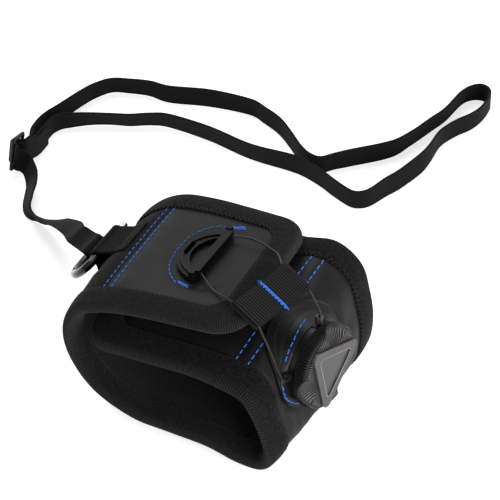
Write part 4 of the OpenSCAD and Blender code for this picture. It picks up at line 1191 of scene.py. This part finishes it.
lace_loop_stops = (
    channel_run(1, [1, 0, -1, -1.2])
    + [(0.0276, 0.010, 0.0724), (0.0195, 0.0136, 0.0719), (0.0127, 0.0156, 0.071)]
    + hook_turn(1, [90, 135, 180]) + hook_turn(-1, [180, 150, 125])
    + [(0.0138, -0.0206, 0.071), (0.020, -0.024, 0.0724)]
    + channel_run(-1, [-1.2, -1, 0, 1])
)
lace_piece("hooked_lace", lace_loop_stops, 8, "lace_loop", "flap")

port_angles = (170, 256)
port_z = 0.0016
port_mouth = 0.0214
exit_gap = 0.00065
lace_exit = port_mouth + exit_gap
lace_lead = 0.0005
lace_rise = 0.0003
lace_hold = 0.001


def reel_pt(p):
    return reel_pos + turned([0, 90 - reel_el, reel_az], p)


def port_pt(k, reach):
    return reel_pt(turned([0, 0, port_angles[k]], [reach, 0, port_z]))


for name, side, port in (("back", 1, 0), ("front", -1, 1)):
    near, start = channel_run(side, [1, 1 + lace_lead / spreader_half_w])
    into_port = [port_pt(port, lace_exit + past) for past in (0.0015, 0, -0.003)]
    stops = [near, start, (start + into_port[0]) / 2 + lace_rise * reel_axis] + into_port
    lace_run = lace_piece(f"{name}_run", stops, 10, f"lace_run_{name}")
    tuple(port_pt(port, lace_exit + lace_hold))
    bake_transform(lace_run)

# ---- Reel base ----
# A soft moulded wedge, sewn to the wall, carries the reel's hard housing square to the dial's axle.
# The wall's coated cover is drawn up round it in folds.
flange_r = 0.021
flange_rim_t = 0.0005
flange_seat_r = 0.0177
flange_seat_gap = 0.00002
flange_wall_gap = 0.00075
flange_turn = np.radians(np.arange(0, 360, 3))
flange_sag = 0.4
flange_step = 0.0005
flange_border = 0.13
flange_hub_r = 0.001
crease_depth = 0.0008

# The stitches run round the moulding's edge: (angle, share of the way from the top's edge to the rim)
flange_row = np.array([
    (-158, 0.30), (-138, 0.38), (-120, 0.58), (-102, 0.90), (-90, 0.88), (-75, 0.50), (-56, 0.22), (-30, 0.15),
    (-12, 0.18), (14, 0.25), (46, 0.32), (90, 0.32), (150, 0.30)])


def flange_row_share(turn):
    return np.interp(np.degrees(turn), flange_row[:, 0], flange_row[:, 1], period=360)


def top_ring(r, turn=flange_turn):
    return reel_pt(np.stack([-r * np.cos(turn), r * np.sin(turn), 0 * turn - flange_seat_gap], -1))


def wall_ring(r, height, turn=flange_turn):
    u = flange_place[0] + r * np.cos(turn)
    y = flange_place[1] + r * np.sin(turn)
    return wall_pt(u, y, -flange_wall_gap - height)


def skirt_pt(turn, k, lift=0.0):
    """A ring of the skirt that falls from the top's edge to the rim on the wall."""
    top, rim = top_ring(flange_seat_r, turn), wall_ring(flange_r, flange_rim_t, turn)
    span = np.linalg.norm(rim - top, axis=1)
    k = np.broadcast_to(k, span.shape)
    sag = (lift - flange_sag * k * (1 - k) * span)[:, None]
    return top * (1 - k)[:, None] + rim * k[:, None] + sag * reel_axis


def crease(turn, share):
    """Folds in the wall's cover where it is drawn up to the moulding, deepest towards the seam."""
    near_seam = np.exp(-((np.degrees((turn + math.pi) % math.tau - math.pi) + 22) / 45) ** 2)
    wave = np.sin(math.tau * (2.3 * share + 0.25 * np.sin(3 * turn) + 0.1 * np.sin(7 * turn)))
    return crease_depth * near_seam * wave * 4 * share * (1 - share)


edge_share = np.minimum(flange_row_share(flange_turn) + flange_border, 1)
flange_rings = [top_ring(r) for r in (flange_hub_r, 0.008, 0.0165, flange_seat_r)]
for f, lift in ((0.2, 0.7), (0.4, 1), (0.6, 1), (0.8, 1), (0.93, 0.8), (0.98, 0.4), (1.0, -0.4)):
    flange_rings.append(skirt_pt(flange_turn, f * edge_share, lift * flange_step))
moulded_rings = len(flange_rings) - 1
for f in np.linspace(0, 1, 14)[1:-1]:
    flange_rings.append(skirt_pt(flange_turn, edge_share + f * (1 - edge_share), crease(flange_turn, f)))
flange_rings.append(wall_ring(flange_r, flange_rim_t))
cover_rings = len(flange_rings) - 1
flange_rings += [wall_ring(flange_r * k / 7, 0) for k in range(7, 0, -1)] + [wall_ring(flange_hub_r, 0)]
flange_moulding = moulded_material("flange_moulding", (0.0040, 0.0038, 0.0038), (0.0095, 0.0090, 0.0090), 0.42)
flange_wedge = make_piece("flange_wedge", np.vstack(flange_rings), tube_faces(len(flange_rings), len(flange_turn)),
                          None, flange_moulding, "reel_flange", "flange_moulding", "cuff")
flange_wedge.data.materials.append(coated_panel)
for quad in range(moulded_rings * len(flange_turn), cover_rings * len(flange_turn)):
    flange_wedge.data.polygons[quad].material_index = 1

# Blue stitches round the moulding, with gaps (middle, half width, in degrees) under the lace ports
flange_pitch = 0.0031
stitch_gaps = ((42, 28), (287, 15))
sewn_turn = np.radians(np.linspace(0, 360, 241))
sewn_path, sewn_beside = (
    skirt_pt(sewn_turn, flange_row_share(sewn_turn) + aside, 1.1 * flange_step) for aside in (0, 0.05))
sewn_out = unit(np.cross(np.gradient(sewn_path, axis=0), sewn_beside - sewn_path))
sewn_out *= np.sign(sewn_out @ reel_axis)[:, None]
sewn_run = distance_along(sewn_path)
flange_parts = []
for ends in stitch_ends(sewn_run, flange_pitch):
    turn_here = math.degrees(np.interp(ends.mean(), sewn_run, sewn_turn))
    if all(abs(turn_here - middle) > half_gap for middle, half_gap in stitch_gaps):
        out = at_run(sewn_out, sewn_run, ends.mean())
        flange_parts.append(one_stitch(*at_run(sewn_path, sewn_run, ends), out, thread_r))
make_piece("flange_stitches", *joined(flange_parts), blue_thread, body="cuff")

# ---- Reel ----
# A ratchet reel: moulded housing and lace ports, a turned steel axle and screw, an acetal spool and
# pawl disc, and a dial of shell, ribbed grip and three-cornered cap.
for node_name, *look in (
    ("reel_housing", "reel_nylon", 0.004, 0.010, 0.38),
    ("strap_slider", "slider_nylon", 0.003, 0.007, 0.35),
    ("lace_ports", "port_nylon", 0.004, 0.010, 0.22, 0.5),
    ("lace_spool", "spool_acetal", (0.05, 0.05, 0.055), (0.075, 0.075, 0.08), 0.35),
    ("pawl_disc", "pawl_acetal", (0.5, 0.5, 0.47), (0.6, 0.6, 0.57), 0.35),
    ("dial_grip", "grip_rubber", 0.003, 0.009, 0.5),
    ("dial_cap", "cap_plastic", (0.038, 0.035, 0.036), (0.064, 0.060, 0.061), 0.36, 0.3),
):
    dress(node_name, moulded_material(*look))

dial_rib_count = 100.0
rib_end_r = 0.0080


def dial_ribs(tree):
    """Fine ribs that run in from the dial's rim, by the angle round its axle, and the radius from it."""
    def vector_math(operation, value, by):
        node = tree.nodes.new("ShaderNodeVectorMath")
        node.operation = operation
        node.inputs[1].default_value = by
        tree.links.new(value, node.inputs[0])
        return node.outputs

    off_axle = vector_math("SUBTRACT", own_space(tree), reel_pos)["Vector"]
    x, y = (Field(tree, vector_math("DOT_PRODUCT", off_axle, reel_pt(axis) - reel_pos)["Value"])
            for axis in ((1, 0, 0), (0, 1, 0)))
    wave = (y.math("ARCTAN2", x) * dial_rib_count).sine()
    return {"Height": wave * 0.5 + 0.5, "Radius": (x * x + y * y) ** 0.5}


dial_shell = Finish("dial_shell", 0.34, 0.12)
ribs = place_group(dial_shell.tree, new_group(dial_ribs))
# Painted highlight and shade: the rib crests are painted light and the grooves between them near black.
rib_crest = ribs["Height"] ** 5.0 * ((ribs["Radius"] - rib_end_r) * 200.0).between(0.05, 1.0)
dial_shell.tones(rib_crest * 1.2, 0.0006, (0.22, 0.21, 0.21))
dial_shell.relief(rib_crest, 0.0004, 0.8)
dress("dial_core", dial_shell.material)

turned_steel = Finish("turned_steel", 0.3, 0.5, 1.0)
turned_steel.tones(speckle(turned_steel.tree, 400.0, 3.0), (0.40, 0.40, 0.41), (0.55, 0.55, 0.56))
turned_steel.set("Roughness", speckle(turned_steel.tree, 900.0, 3.0) * 0.2 + 0.2)
dress("reel_axle", turned_steel.material)
dress("axle_screw", turned_steel.material)

# A thin light bead round the cap's recess is a painted highlight on the recess's edge
cap_turn = 101
cap_top = 0.0104
bead_r = 0.00022
bead_reach = 0.0106
bead_corner_r = 0.0016
bead_spacing = 0.0008
bead_sides = 8


def polar(r, degrees):
    return turned([0, 0, degrees], [r, 0, 0])


bead_line = [
    polar(bead_reach, corner) + polar(bead_corner_r, a) + (0, 0, cap_top)
    for corner in (0, 120, 240) for a in np.linspace(corner - 60, corner + 60, 9)]
bead_line = evenly(np.array(bead_line + bead_line[:1]), bead_spacing)
bead_line = reel_pt(turned([0, 0, cap_turn], bead_line))
# Painted highlight: the bead's light colour stands for the light caught on the recess's edge.
painted_highlight_bead = moulded_material("painted_highlight_bead", (0.16, 0.152, 0.15), (0.30, 0.29, 0.285), 0.25)
make_piece("cap_bead", *cord_tube(bead_line, bead_r, bead_sides), painted_highlight_bead, body="dial")

# ---- Studio ----
# A pale paper floor and two soft boxes. What the camera and the reflections see past the floor is
# white, and the light that reaches the object from there is dimmer.


def white_to_the_eye(tree):
    """1 for camera, mirror and glass rays, 0 for the rays that light the object."""
    rays = tree.nodes.new("ShaderNodeLightPath").outputs
    seen = Field(tree, rays["Is Camera Ray"]).math("MAXIMUM", Field(tree, rays["Is Glossy Ray"]))
    return seen.math("MAXIMUM", Field(tree, rays["Is Transmission Ray"]))


ambient = 0.27
world = bpy.data.worlds.new("studio")
bpy.context.scene.world = world
world.use_nodes = True
sky = world.node_tree.nodes["Background"]
sky.inputs["Color"].default_value = (1, 1, 1, 1)
feed(world.node_tree, white_to_the_eye(world.node_tree) * (1 - ambient) + ambient, sky.inputs["Strength"])

floor_half = 3.0
floor_z = -0.0003
floor_glow = 0.70
floor_paper = Finish("floor_paper", 0.9, 0.1)
floor_paper.tones(speckle(floor_paper.tree, 40.0), 0.78, 0.82)
floor_paper.set("Emission Color", (1, 1, 1, 1))
floor_paper.set("Emission Strength", white_to_the_eye(floor_paper.tree) * floor_glow)
floor_corners = [(x * floor_half, y * floor_half, floor_z) for x, y in ((-1, -1), (1, -1), (1, 1), (-1, 1))]
make_piece("floor", floor_corners, [[0, 1, 2, 3]], None, floor_paper.material)


box_size = 0.8
lit_point = Vector((0, 0, 0.03))


def soft_box(name, place, watts):
    data = bpy.data.lights.new(name, "AREA")
    data.shape = "SQUARE"
    data.size = box_size
    data.energy = watts
    lamp = bpy.data.objects.new(name, data)
    lamp.location = place
    lamp.rotation_euler = (lit_point - Vector(place)).to_track_quat("-Z", "Y").to_euler()
    bpy.context.scene.collection.objects.link(lamp)


soft_box("key_light", (-0.42, 0.4, 1.05), 8.0)
soft_box("fill_light", (1.1, -0.55, 0.3), 21.0)
bpy.context.scene.view_settings.view_transform = "Standard"
